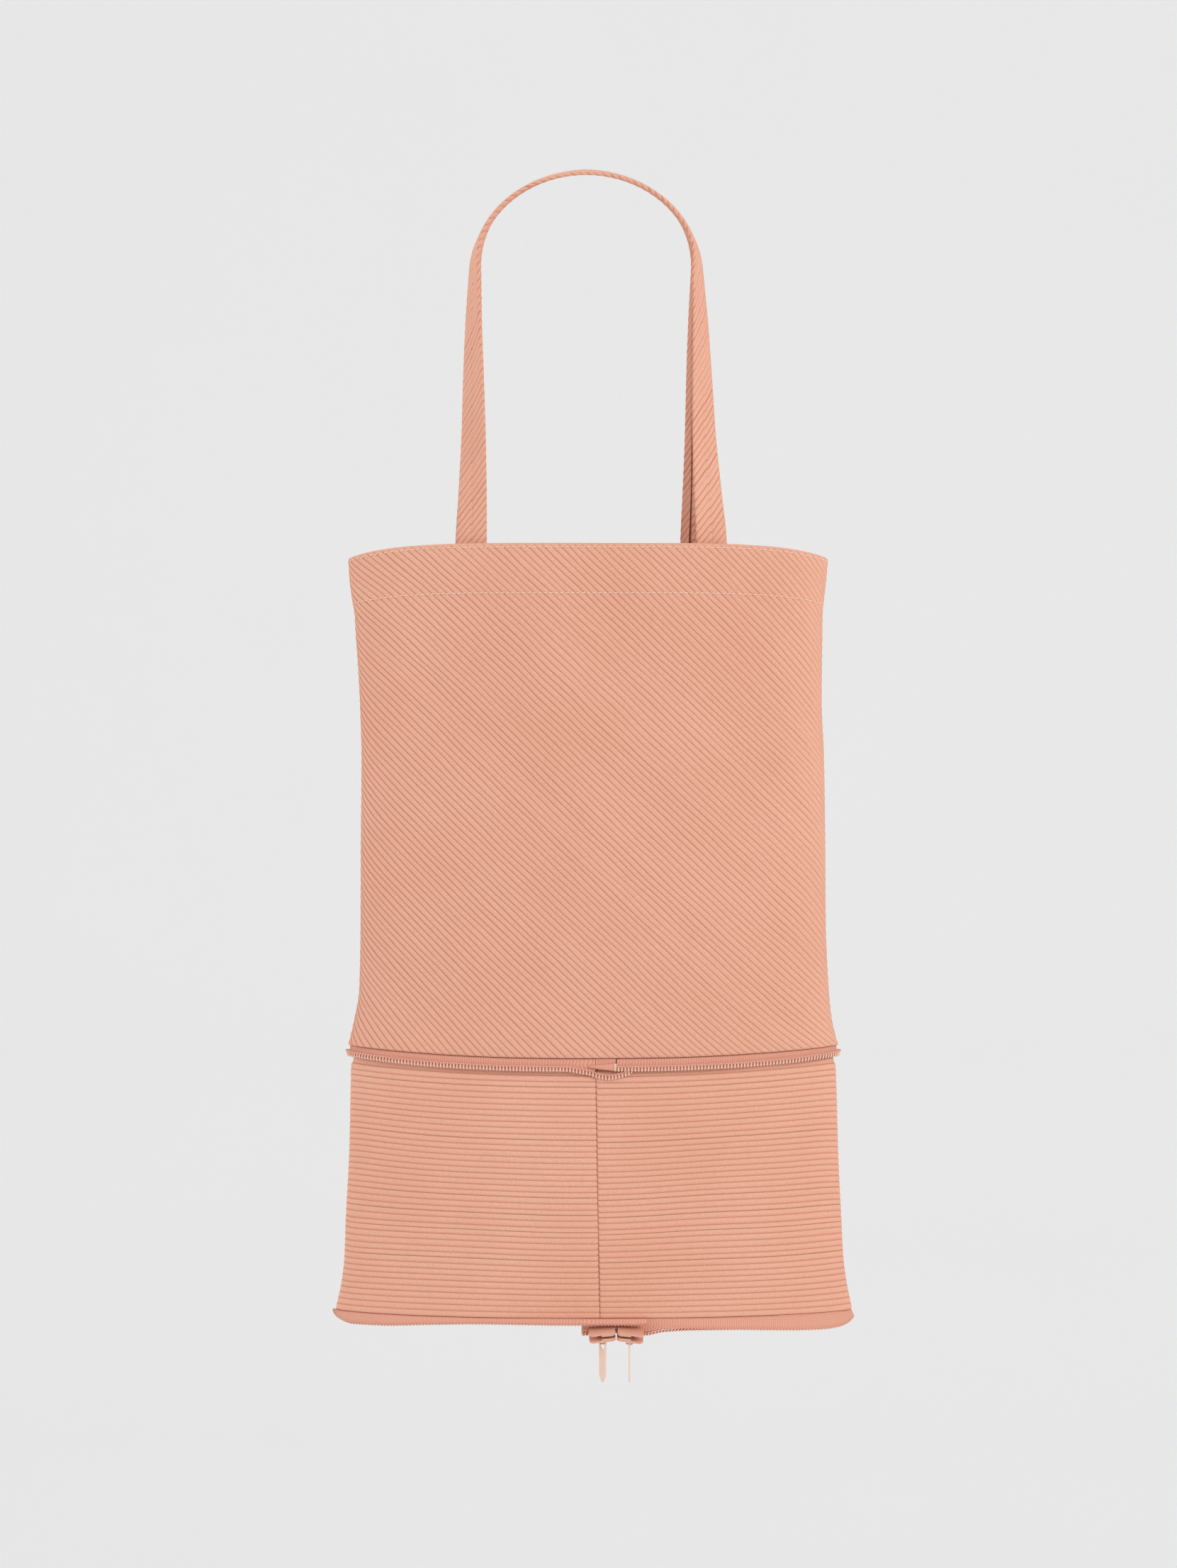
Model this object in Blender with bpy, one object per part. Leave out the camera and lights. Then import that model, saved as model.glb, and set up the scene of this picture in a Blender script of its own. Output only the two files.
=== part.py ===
"""Expandable tote bag of pleated cloth, hanging from its two handles with the extension let down.

Units are metres, +Z is up and the front of the bag faces -Y. The origin is the point under the
middle of the handles' top, where a hook or a hand holds the bag.
"""

import math
from collections import namedtuple

import bmesh
import bpy
from mathutils import Matrix, Vector

MM = 0.001

# Body: the pleated tube from the mouth to the hem
HANDLE_DROP = 226.6 * MM
UPPER_HEIGHT = 308.8 * MM
EXTENSION_HEIGHT = 155.8 * MM
HALF_WIDTH = 145.5 * MM
HALF_DEPTH = 34.0 * MM
CLOTH_WALL = 1.4 * MM
HEM_DEPTH = 30.0 * MM
HEM_WALL = 2.2 * MM
HEM_RUNOUT = 3.0 * MM
MOUTH_DROOP = 7.7 * MM
MOUTH_DROOP_FADE = 3
MOUTH_DROOP_CORNER = 5
SEAM_SAG = 6.5 * MM
SEAM_SAG_GROWTH = 1.5
HEM_SAG = 2.4 * MM
PLEAT_COUNT = 45
PLEAT_RELIEF = 0.8 * MM
PLEAT_FOLD_SHARE = 0.18
OVAL_SQUARENESS = 2.25
FLOOR_WALL = 1.4 * MM
FLOOR_FLAT_SHARE = 0.62

# Handles
STRAP_WIDTH = 19.5 * MM
STRAP_THICKNESS = 1.9 * MM
STRAP_FREE_PLAY = 0.4 * MM
ARCH_HALF_SPAN = 67.5 * MM
ARCH_RISE = 59.0 * MM
ARCH_SHIFT = -1.5 * MM
FRONT_LEFT_REACH = 70.5 * MM
FRONT_RIGHT_REACH = 74.0 * MM
BACK_LEFT_REACH = 72.0 * MM
BACK_RIGHT_REACH = 65.5 * MM

# Zip round the seam and the hem
TAPE_THICKNESS = 0.8 * MM
UPPER_TAPE_HEIGHT = 7.6 * MM
COIL_BAND = 3.7 * MM
COIL_THICKNESS = 2.0 * MM
COIL_UNDERSIDE = 0.8 * MM
COIL_BELOW_SEAM = 6.4 * MM
COIL_START_GAP = 0.9 * MM
COIL_END_REACH = 1.4 * MM
LEFT_COIL_DIP = 5.1 * MM
LOWER_COIL_DIAMETER = 2.4 * MM
LOWER_COIL_DROP = 5.4 * MM
OVERLAP_STANDOFF = 3.4 * MM
TAPE_BEND_REACH = 3.4 * MM
TAPE_BEND_SHARE = 0.55
END_TAB_WIDTH = 16.6 * MM
END_TAB_HEIGHT = 3.0 * MM
END_TAB_THICKNESS = 0.8 * MM
END_TAB_ABOVE_COIL = 1.4 * MM
END_TAB_SLOPE = 3.0

# Sliders and pull tabs, with their angles in degrees
SLIDER_LENGTH = 15.8 * MM
SLIDER_WIDTH = 10.8 * MM
SLIDER_TAIL_WIDTH = 9.4 * MM
SLIDER_SHOULDER = 3.6 * MM
SLIDER_THICKNESS = 5.6 * MM
SLIDER_CORNER = 1.6 * MM
CHANNEL_HEIGHT = 3.4 * MM
LIP_WIDTH = 0.8 * MM
SLIT_HEIGHT = 1.5 * MM
MOUTH_START = 0.05
POST_WIDTH = 1.8 * MM
POST_LENGTH = 4.6 * MM
SLIDER_TILT = 20.0
SLIDER_SPACING = 17.0 * MM
SLIDER_PAIR_X = 16.6 * MM
COIL_OFF_SLIDER_MIDDLE = 2.35 * MM
CROWN_LENGTH = 4.4 * MM
CROWN_WIDTH = 1.0 * MM
CROWN_WALL = 0.7 * MM
CROWN_OPENING = 3.0 * MM
PULL_WIDTH = 6.6 * MM
PULL_LENGTH = 25.0 * MM
PULL_THICKNESS = 1.0 * MM
PULL_POINT = 4.0 * MM
PULL_TAPER = 0.94
PULL_TIP_SHARE = 0.2
PULL_SLOT_WIDTH = 4.4 * MM
PULL_SLOT_LENGTH = 4.6 * MM
PULL_BAR = 1.0 * MM
PULL_SEAT = 1.1 * MM
LEFT_PULL_TURN = 38.0

# Clearance between neighbouring pieces, how far cuts run past a face, and how finely pieces are divided
GAP = 0.3 * MM
CUT_OVERRUN = 0.6 * MM
COLUMNS = 44
EXTENSION_COLUMNS = 28
FINE_STEP = 2.0
FINE_REACH = 16.0
STRAP_LEG_STEPS = 12
STRAP_ARCH_STEPS = 15
COIL_SIDES = 6
SMOOTH_ANGLE = 40.0
PROBE_ANGLE = 0.5

# Sections of the upper body, from the mouth down: shares of UPPER_HEIGHT, HALF_WIDTH and HALF_DEPTH
Section = namedtuple("Section", "down left right depth")
UPPER_SECTIONS = (
    Section(0.00, 1.000, 0.997, 0.90),
    Section(0.05, 0.994, 0.989, 0.92),
    Section(0.10, 0.980, 0.978, 0.94),
    Section(0.17, 0.970, 0.976, 0.97),
    Section(0.30, 0.954, 0.973, 1.02),
    Section(0.42, 0.947, 0.983, 1.05),
    Section(0.60, 0.950, 0.988, 1.06),
    Section(0.75, 0.951, 0.990, 1.04),
    Section(0.89, 0.957, 1.003, 1.00),
    Section(0.95, 0.978, 1.016, 0.98),
    Section(1.00, 1.002, 1.042, 0.97),
)
# Sections of the extension, from the seam down: shares of EXTENSION_HEIGHT, HALF_WIDTH and HALF_DEPTH
EXTENSION_SECTIONS = (
    Section(0.00, 0.981, 1.021, 0.88),
    Section(0.05, 0.982, 1.022, 0.88),
    Section(0.08, 0.994, 1.033, 0.94),
    Section(0.45, 1.003, 1.045, 0.99),
    Section(0.66, 1.013, 1.056, 0.98),
    Section(0.80, 1.018, 1.064, 0.96),
    Section(0.90, 1.031, 1.078, 0.95),
    Section(1.00, 1.055, 1.100, 0.94),
)
# Soft upright undulations of the wall: angle and reach in degrees round the bag, depth as a share of
# CLOTH_WALL, and how much of it is there at the mouth and at the seam
Fold = namedtuple("Fold", "angle reach depth top_share bottom_share")
WALL_FOLDS = (
    Fold(-132.0, 8.0, -0.9, 1.0, 0.3),
    Fold(-100.0, 8.0, 0.8, 1.0, 0.2),
    Fold(-84.0, 7.0, -0.8, 1.0, 0.3),
    Fold(-48.0, 8.0, -0.9, 1.0, 0.5),
    Fold(50.0, 8.0, -0.9, 0.8, 0.4),
    Fold(90.0, 12.0, 0.8, 0.9, 0.3),
    Fold(132.0, 8.0, -0.8, 0.7, 0.4),
)
# Leg of a handle from the arch's spring to the mouth: share down, shares of its way sideways and
# apart from its twin, and the angle in degrees of its face from facing front or back
LegRow = namedtuple("LegRow", "down reach apart turn")
LEG_ROWS = (
    LegRow(0.00, 0.00, 0.00, 73.0),
    LegRow(0.20, 0.24, 0.06, 63.0),
    LegRow(0.40, 0.34, 0.20, 53.0),
    LegRow(0.60, 0.44, 0.43, 44.0),
    LegRow(0.80, 0.70, 0.74, 32.0),
    LegRow(1.00, 1.00, 1.00, 17.0),
    LegRow(1.16, 1.00, 1.00, 6.0),
)
# Turn of the strap's face along a quarter of the arch, from its spring to its top
ArchRow = namedtuple("ArchRow", "share turn")
ARCH_ROWS = (
    ArchRow(0.00, 73.0),
    ArchRow(0.25, 84.0),
    ArchRow(0.60, 82.0),
    ArchRow(1.00, 77.0),
)
# Free left end of the upper coil: place across the front as a share of END_TAB_WIDTH, share of the dip
DipRow = namedtuple("DipRow", "across share")
COIL_DIP_ROWS = (
    DipRow(-0.75, 0.00),
    DipRow(0.00, 0.42),
    DipRow(0.40, 0.85),
    DipRow(0.72, 1.00),
    DipRow(1.10, 0.82),
)
# Lower zip from its start in the sliders, round the back, to its free end in front of them: angle in
# degrees, share of LOWER_COIL_DROP, shares of OVERLAP_STANDOFF at the coil and at the tape's top, and
# how far the coil lies over towards the sliders' tilt
HemRow = namedtuple("HemRow", "angle drop standoff top tilt")
HEM_ROWS = (
    HemRow(-91.0, 1.76, 0.5, 0.00, 1.0),
    HemRow(-85.5, 1.46, 0.5, 0.00, 1.0),
    HemRow(-80.3, 1.78, 0.5, 0.00, 1.0),
    HemRow(-76.0, 1.42, 0.3, 0.00, 0.6),
    HemRow(-70.0, 1.16, 0.1, 0.00, 0.2),
    HemRow(-60.0, 1.00, 0.0, 0.00, 0.0),
    HemRow(0.0, 1.00, 0.0, 0.00, 0.0),
    HemRow(90.0, 1.00, 0.0, 0.00, 0.0),
    HemRow(180.0, 0.72, 0.0, 0.00, 0.0),
    HemRow(245.0, 0.66, 0.0, 0.00, 0.0),
    HemRow(256.0, 0.64, 0.3, 0.10, 0.0),
    HemRow(266.0, 0.62, 1.0, 0.34, 0.0),
    HemRow(278.0, 0.62, 1.0, 0.34, 0.0),
    HemRow(280.5, 0.45, 1.0, 0.34, 0.0),
)

CLOTH_COLOUR = (0.80, 0.40, 0.28, 1.0)
TAPE_COLOUR = (0.76, 0.36, 0.25, 1.0)
COIL_COLOUR = (0.86, 0.48, 0.35, 1.0)
SLIDER_COLOUR = (0.80, 0.42, 0.30, 1.0)
PULL_COLOUR = (0.90, 0.66, 0.53, 1.0)

FRONT = -90.0


def clear_scene():
    """Remove every object that the scene starts with."""
    for thing in list(bpy.data.objects):
        bpy.data.objects.remove(thing, do_unlink=True)


def new_collection(name):
    """Make a collection in the scene and return it."""
    collection = bpy.data.collections.new(name)
    bpy.context.scene.collection.children.link(collection)
    return collection


def make_material(name, colour, roughness, metallic=0.0):
    """Make a plain material of one colour."""
    material = bpy.data.materials.new(name)
    material.use_nodes = True
    shader = material.node_tree.nodes["Principled BSDF"]
    shader.inputs["Base Color"].default_value = colour
    shader.inputs["Roughness"].default_value = roughness
    shader.inputs["Metallic"].default_value = metallic
    return material


def smooth_share(share):
    """Ease a share between 0 and 1."""
    bounded = min(max(share, 0.0), 1.0)
    return bounded * bounded * (3.0 - 2.0 * bounded)


def read_table(rows, column, key_column, key):
    """Read a column of a table at a key, by a smooth curve through its rows."""
    keys = [getattr(row, key_column) for row in rows]
    values = [getattr(row, column) for row in rows]
    if key <= keys[0]:
        return values[0]
    if key >= keys[-1]:
        return values[-1]
    last = len(rows) - 1
    place = max(index for index in range(last) if keys[index] <= key)
    span = keys[place + 1] - keys[place]
    share = (key - keys[place]) / span
    rise = (values[place + 1] - values[place]) / span
    before = rise
    if place > 0:
        before = (values[place] - values[place - 1]) / (keys[place] - keys[place - 1])
    after = rise
    if place + 1 < last:
        after = (values[place + 2] - values[place + 1]) / (keys[place + 2] - keys[place + 1])
    start_slope = 0.0 if before * rise <= 0.0 else 2.0 * before * rise / (before + rise)
    end_slope = 0.0 if after * rise <= 0.0 else 2.0 * after * rise / (after + rise)
    square, cube = share * share, share ** 3
    return (
        values[place] * (2.0 * cube - 3.0 * square + 1.0)
        + span * start_slope * (cube - 2.0 * square + share)
        + values[place + 1] * (3.0 * square - 2.0 * cube)
        + span * end_slope * (cube - square)
    )


def mesh_object(name, bm, collection, material=None):
    """Turn a bmesh into an object with its faces pointing out."""
    bmesh.ops.recalc_face_normals(bm, faces=bm.faces)
    mesh = bpy.data.meshes.new(name)
    bm.to_mesh(mesh)
    bm.free()
    thing = bpy.data.objects.new(name, mesh)
    collection.objects.link(thing)
    if material is not None:
        mesh.materials.append(material)
    return thing


def shade_round(thing):
    """Shade an object smooth, but for its sharp edges."""
    thing.data.shade_smooth()
    thing.data.set_sharp_from_angle(angle=math.radians(SMOOTH_ANGLE))


def loft(name, sections, collection, material, closed_way=False):
    """Join sections of equal point counts, each a closed outline, into one closed body."""
    bm = bmesh.new()
    rows = [[bm.verts.new(point) for point in section] for section in sections]
    pairs = list(zip(rows, rows[1:]))
    if closed_way:
        pairs.append((rows[-1], rows[0]))
    sides = len(rows[0])
    for one, other in pairs:
        for side in range(sides):
            following = (side + 1) % sides
            bm.faces.new((one[side], one[following], other[following], other[side]))
    if not closed_way:
        bm.faces.new(rows[0])
        bm.faces.new(reversed(rows[-1]))
    thing = mesh_object(name, bm, collection, material)
    shade_round(thing)
    return thing


def oval_point(left, right, depth, angle, inset=0.0):
    """Point of a flattened oval at an angle in degrees, moved inwards by an inset."""
    turn = math.radians(angle)
    across, along = math.cos(turn), math.sin(turn)
    power = 2.0 / OVAL_SQUARENESS
    half_width = right if across >= 0.0 else left
    x = math.copysign(abs(across) ** power, across) * half_width
    y = math.copysign(abs(along) ** power, along) * depth
    slope_x = math.copysign(abs(across) ** (2.0 - power), across) / half_width
    slope_y = math.copysign(abs(along) ** (2.0 - power), along) / depth
    outward = Vector((slope_x, slope_y, 0.0)).normalized()
    return Vector((x, y, 0.0)) - outward * inset, outward


def fold_depth(angle, down):
    """Depth of the wall's soft undulations at an angle, by the share down the upper body."""
    depth = 0.0
    for fold in WALL_FOLDS:
        away = (angle - fold.angle + 180.0) % 360.0 - 180.0
        strength = fold.top_share + (fold.bottom_share - fold.top_share) * down
        depth += fold.depth * CLOTH_WALL * strength * math.exp(-((away / fold.reach) ** 2))
    return depth


def upper_point(angle, down, inset=0.0):
    """Point on the upper body's wall at an angle, a share down from the mouth."""
    left, right, depth = (
        read_table(UPPER_SECTIONS, column, "down", down) for column in ("left", "right", "depth")
    )
    fold = fold_depth(angle, down)
    place, _ = oval_point(left * HALF_WIDTH, right * HALF_WIDTH, depth * HALF_DEPTH, angle, inset - fold)
    side = abs(math.cos(math.radians(angle)))
    droop = MOUTH_DROOP * (1.0 - down) ** MOUTH_DROOP_FADE * side ** MOUTH_DROOP_CORNER
    sag = SEAM_SAG * down ** SEAM_SAG_GROWTH * side ** 2
    place.z = -HANDLE_DROP - UPPER_HEIGHT * down - droop + sag
    return place


def extension_point(angle, down, inset=0.0):
    """Point on the extension's wall at an angle, a share down from the seam."""
    left, right, depth = (
        read_table(EXTENSION_SECTIONS, column, "down", down) for column in ("left", "right", "depth")
    )
    place, _ = oval_point(left * HALF_WIDTH, right * HALF_WIDTH, depth * HALF_DEPTH, angle, inset)
    side = abs(math.cos(math.radians(angle)))
    sag = (SEAM_SAG + (HEM_SAG - SEAM_SAG) * down) * side ** 2
    place.z = -HANDLE_DROP - UPPER_HEIGHT - GAP - (EXTENSION_HEIGHT - GAP) * down + sag
    return place


def ring(point, down, inset, columns):
    """Points of a ring of a wall, a share down from its top."""
    return [point(360.0 * column / columns, down, inset) for column in range(columns)]


def wall(name, rings, collection, material):
    """Join the rings of a tube's wall, down its outside and up its inside, into one body."""
    sections = [list(section) for section in zip(*rings)]
    return loft(name, sections, collection, material, closed_way=True)


def build_upper_body(collection, material):
    """The pleated tube from the mouth to the zip, with the turned hem at its mouth."""
    shares = [section.down for section in UPPER_SECTIONS]
    hem_share = HEM_DEPTH / UPPER_HEIGHT
    step = (HEM_WALL - CLOTH_WALL) / UPPER_HEIGHT
    lowest = hem_share + HEM_RUNOUT / UPPER_HEIGHT
    rows = [(share, 0.0) for share in shares]
    rows += [(share, CLOTH_WALL) for share in reversed(shares) if share > lowest]
    rows += [(hem_share + step, CLOTH_WALL), (hem_share, HEM_WALL), (0.0, HEM_WALL)]
    rings = [ring(upper_point, share, inset, COLUMNS) for share, inset in rows]
    return wall("upper_body", rings, collection, material)


def build_extension(collection, material):
    """The tube that lets down, with level knife pleats whose strips slope out to their upper folds."""
    rows = []
    for pleat in range(PLEAT_COUNT):
        rows.append((pleat / PLEAT_COUNT, PLEAT_RELIEF))
        rows.append(((pleat + PLEAT_FOLD_SHARE) / PLEAT_COUNT, 0.0))
    rows.append((1.0, PLEAT_RELIEF))
    inset = CLOTH_WALL + PLEAT_RELIEF
    rows += [(section.down, inset) for section in reversed(EXTENSION_SECTIONS)]
    rings = [ring(extension_point, share, depth, EXTENSION_COLUMNS) for share, depth in rows]
    return wall("extension", rings, collection, material)


def build_bottom_panel(collection, material):
    """The plain floor under the extension, inside the lower tape: flat in its middle, its rim on the hem."""
    inset = PLEAT_RELIEF + TAPE_THICKNESS + 2.0 * GAP
    hem = ring(extension_point, 1.0, inset, COLUMNS)
    rim = [point - Vector((0.0, 0.0, GAP)) for point in hem]
    low = min(point.z for point in rim)
    flat = [Vector((point.x * FLOOR_FLAT_SHARE, point.y * FLOOR_FLAT_SHARE, low)) for point in rim]
    tops = [flat, rim]
    undersides = [[point - Vector((0.0, 0.0, FLOOR_WALL)) for point in row] for row in reversed(tops)]
    return loft("bottom_panel", tops + undersides, collection, material)


def strap_reach(turn):
    """How far a strap turned by an angle in degrees reaches to the front and back of its middle."""
    radians = math.radians(turn)
    return STRAP_WIDTH * 0.5 * math.sin(radians) + STRAP_THICKNESS * 0.5 * math.cos(radians)


def strap_at_wall(reach, down, turn):
    """Distance of a strap's middle from the bag's middle plane where it lies against the hem."""
    row = read_table(UPPER_SECTIONS, "depth", "down", down)
    share = abs(reach) / HALF_WIDTH
    wall_depth = HALF_DEPTH * row * (1.0 - share ** OVAL_SQUARENESS) ** (1.0 / OVAL_SQUARENESS)
    return wall_depth - HEM_WALL - GAP - STRAP_FREE_PLAY - strap_reach(turn)


def leg_point(down, reach, side, front):
    """Middle of a strap and its turn, a share down the leg from the arch's spring."""
    leg_height = HANDLE_DROP - ARCH_RISE
    turn = read_table(LEG_ROWS, "turn", "down", down)
    sideways = ARCH_HALF_SPAN + (reach - ARCH_HALF_SPAN) * read_table(LEG_ROWS, "reach", "down", down)
    apart = read_table(LEG_ROWS, "apart", "down", down)
    below_mouth = max(down - 1.0, 0.0) * leg_height / UPPER_HEIGHT
    near = strap_reach(turn) + GAP * 0.5
    away = near + (strap_at_wall(reach, below_mouth, turn) - near) * apart
    x = side * sideways + ARCH_SHIFT * (1.0 - smooth_share(down))
    return Vector((x, front * away, -ARCH_RISE - leg_height * down)), turn


def arch_point(step, front):
    """Middle of a strap and its turn, some steps along the arch from its left spring."""
    angle = math.pi * step / (2 * STRAP_ARCH_STEPS)
    share = 1.0 - abs(1.0 - step / STRAP_ARCH_STEPS)
    turn = read_table(ARCH_ROWS, "turn", "share", share)
    top_turn = math.radians(ARCH_ROWS[-1].turn)
    ridge = STRAP_WIDTH * 0.5 * math.cos(top_turn) - STRAP_THICKNESS * 0.5 * math.sin(top_turn)
    x = ARCH_SHIFT - ARCH_HALF_SPAN * math.cos(angle)
    z = -ARCH_RISE + (ARCH_RISE - ridge) * math.sin(angle)
    return Vector((x, front * (strap_reach(turn) + GAP * 0.5), z)), turn


def handle_way(left_reach, right_reach, front):
    """Middle line of a handle with its turns, from its left base over the arch to its right base."""
    shares = [LEG_ROWS[-1].down * step / STRAP_LEG_STEPS for step in range(STRAP_LEG_STEPS + 1)]
    left = [leg_point(share, left_reach, -1.0, front) for share in reversed(shares)]
    arch = [arch_point(step, front) for step in range(1, 2 * STRAP_ARCH_STEPS)]
    right = [leg_point(share, right_reach, 1.0, front) for share in shares]
    return left + arch + right


def strap_section(centre, along, turn, front):
    """Corners of a strap whose outer face turns from its wall's side to the outside of the loop."""
    outward = along.cross(Vector((0.0, 1.0, 0.0))).normalized()
    forward = Vector((0.0, front, 0.0))
    forward = (forward - along * forward.dot(along)).normalized()
    radians = math.radians(turn)
    normal = outward * math.sin(radians) + forward * math.cos(radians)
    width = outward * math.cos(radians) - forward * math.sin(radians)
    half, thick = STRAP_WIDTH * 0.5, STRAP_THICKNESS * 0.5
    corners = ((1.0, 1.0), (-1.0, 1.0), (-1.0, -1.0), (1.0, -1.0))
    return [centre + width * (half * wide) + normal * (thick * deep) for wide, deep in corners]


def build_handle(name, left_reach, right_reach, front, collection, material):
    """A strap that lies against its wall at both ends and stands on edge over the arch."""
    way = handle_way(left_reach, right_reach, front)
    sections = []
    for index, (centre, turn) in enumerate(way):
        before = way[max(index - 1, 0)][0]
        after = way[min(index + 1, len(way) - 1)][0]
        sections.append(strap_section(centre, (after - before).normalized(), turn, front))
    return loft(name, sections, collection, material)


def angle_at(sections, x, down, turns=0):
    """Angle round the front of a wall at a place across it, plus whole turns."""
    column = "right" if x >= 0.0 else "left"
    half_width = HALF_WIDTH * read_table(sections, column, "down", down)
    across = (abs(x) / half_width) ** (OVAL_SQUARENESS / 2.0)
    return FRONT + math.copysign(math.degrees(math.asin(across)), x) + 360.0 * turns


def way_round(start, end):
    """Angles of a way round the bag, closer together in the middle of the front."""
    first = FRONT + FINE_REACH
    last = FRONT + 360.0 - FINE_REACH
    stretches = ((start, first, FINE_STEP), (first, last, 360.0 / COLUMNS), (last, end, FINE_STEP))
    angles = []
    for low, high, step in stretches:
        count = max(1, round((high - low) / step))
        angles += [low + (high - low) * index / count for index in range(count)]
    return angles + [end]


def outward_at(point, angle):
    """Level direction out of the wall at an angle."""
    along = point(angle + PROBE_ANGLE, 1.0, 0.0) - point(angle - PROBE_ANGLE, 1.0, 0.0)
    return Vector((along.y, -along.x, 0.0)).normalized()


def seam_point(angle, inset, below):
    """Point near the seam between the upper body and the extension."""
    place = upper_point(angle, 1.0, inset)
    return place - Vector((0.0, 0.0, below))


def build_upper_tape(collection, material):
    """The zip tape that hangs from the seam, over the top of the extension."""
    outer = COIL_UNDERSIDE + GAP
    inner = outer + TAPE_THICKNESS
    low = GAP + UPPER_TAPE_HEIGHT
    corners = ((outer, GAP), (outer, low), (inner, low), (inner, GAP))
    sections = []
    for column in range(COLUMNS):
        angle = 360.0 * column / COLUMNS
        sections.append([seam_point(angle, inset, below) for inset, below in corners])
    return loft("upper_zip_tape", sections, collection, material, closed_way=True)


def coil_dip(x):
    """How far the free left end of the upper coil hangs below its line, at a place across the front."""
    return LEFT_COIL_DIP * read_table(COIL_DIP_ROWS, "share", "across", x / END_TAB_WIDTH)


def build_upper_coil(collection, material):
    """The coil on the upper tape: one length round the bag, whose left end dips under its start."""
    start = angle_at(UPPER_SECTIONS, END_TAB_WIDTH + COIL_START_GAP, 1.0)
    end = angle_at(UPPER_SECTIONS, END_TAB_WIDTH + COIL_END_REACH, 1.0, turns=1)
    middle_inset = COIL_UNDERSIDE - COIL_THICKNESS * 0.5
    sections = []
    for angle in way_round(start, end):
        centre = seam_point(angle, middle_inset, COIL_BELOW_SEAM)
        outward = outward_at(upper_point, angle)
        if angle > 180.0:
            centre.z -= coil_dip(centre.x)
        section = []
        for side in range(COIL_SIDES):
            turn = 2.0 * math.pi * side / COIL_SIDES
            sideways = outward * (math.cos(turn) * COIL_THICKNESS * 0.5)
            section.append(centre + sideways + Vector((0.0, 0.0, math.sin(turn) * COIL_BAND * 0.5)))
        sections.append(section)
    return loft("upper_zip_coil", sections, collection, material)


def build_end_tab(collection, material):
    """The folded tape end that is stitched down between the two ends of the upper coil."""
    bpy.ops.mesh.primitive_cube_add(size=1.0)
    tab = bpy.context.active_object
    tab.name = tab.data.name = "zip_end_tab"
    for home in list(tab.users_collection):
        home.objects.unlink(tab)
    collection.objects.link(tab)
    tab.data.transform(Matrix.Diagonal((END_TAB_WIDTH, END_TAB_THICKNESS, END_TAB_HEIGHT, 1.0)))
    middle = END_TAB_WIDTH * 0.5
    angle = angle_at(UPPER_SECTIONS, middle, 1.0)
    inset = COIL_UNDERSIDE - END_TAB_THICKNESS * 0.5
    place = seam_point(angle, inset, COIL_BELOW_SEAM - END_TAB_ABOVE_COIL)
    outward = outward_at(upper_point, angle)
    tab.location = place
    tab.rotation_euler = (0.0, math.radians(END_TAB_SLOPE), math.atan2(outward.x, -outward.y))
    tab.data.materials.append(material)
    return tab


def hem_place(angle):
    """Frame of the lower zip at an angle: the tape's top and bend, the coil's middle and its lie."""
    drop, standoff, top, tilt = (
        read_table(HEM_ROWS, column, "angle", angle) for column in ("drop", "standoff", "top", "tilt")
    )
    outward = outward_at(extension_point, angle)
    middle = extension_point(angle, 1.0, PLEAT_RELIEF + TAPE_THICKNESS * 0.5)
    tape_top = middle + outward * (top * OVERLAP_STANDOFF) - Vector((0.0, 0.0, GAP))
    coil = middle + outward * (standoff * OVERLAP_STANDOFF) - Vector((0.0, 0.0, drop * LOWER_COIL_DROP))
    lean = math.radians(tilt * (90.0 - SLIDER_TILT))
    lie = outward * math.sin(lean) - Vector((0.0, 0.0, math.cos(lean)))
    return tape_top, coil, lie, outward


def build_lower_tape(collection, material):
    """The zip tape round the hem, which carries the coil on its lower edge."""
    sections = []
    for angle in way_round(HEM_ROWS[0].angle, HEM_ROWS[-1].angle):
        top, coil, lie, outward = hem_place(angle)
        end = coil - lie * (LOWER_COIL_DIAMETER * 0.5 + GAP)
        bend = coil - lie * min(TAPE_BEND_REACH, (top - coil).length * TAPE_BEND_SHARE)
        face = (outward * -lie.z + Vector((0.0, 0.0, lie.dot(outward)))).normalized()
        half_top = outward * (TAPE_THICKNESS * 0.5)
        half_low = face * (TAPE_THICKNESS * 0.5)
        half_bend = (outward + face).normalized() * (TAPE_THICKNESS * 0.5)
        ways = ((top, half_top), (bend, half_bend), (end, half_low))
        faces = [place + half for place, half in ways]
        sections.append(faces + [place - half for place, half in reversed(ways)])
    return loft("lower_zip_tape", sections, collection, material)


def build_lower_coil(collection, material):
    """The coil round the hem, from its start in the sliders to its free end in front of them."""
    sections = []
    for angle in way_round(HEM_ROWS[0].angle, HEM_ROWS[-1].angle):
        _, coil, lie, outward = hem_place(angle)
        face = (outward * -lie.z + Vector((0.0, 0.0, lie.dot(outward)))).normalized()
        section = []
        for side in range(COIL_SIDES):
            turn = 2.0 * math.pi * (side + 0.5) / COIL_SIDES
            spoke = lie * math.cos(turn) + face * math.sin(turn)
            section.append(coil + spoke * (LOWER_COIL_DIAMETER * 0.5))
        sections.append(section)
    return loft("lower_zip_coil", sections, collection, material)


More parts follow.
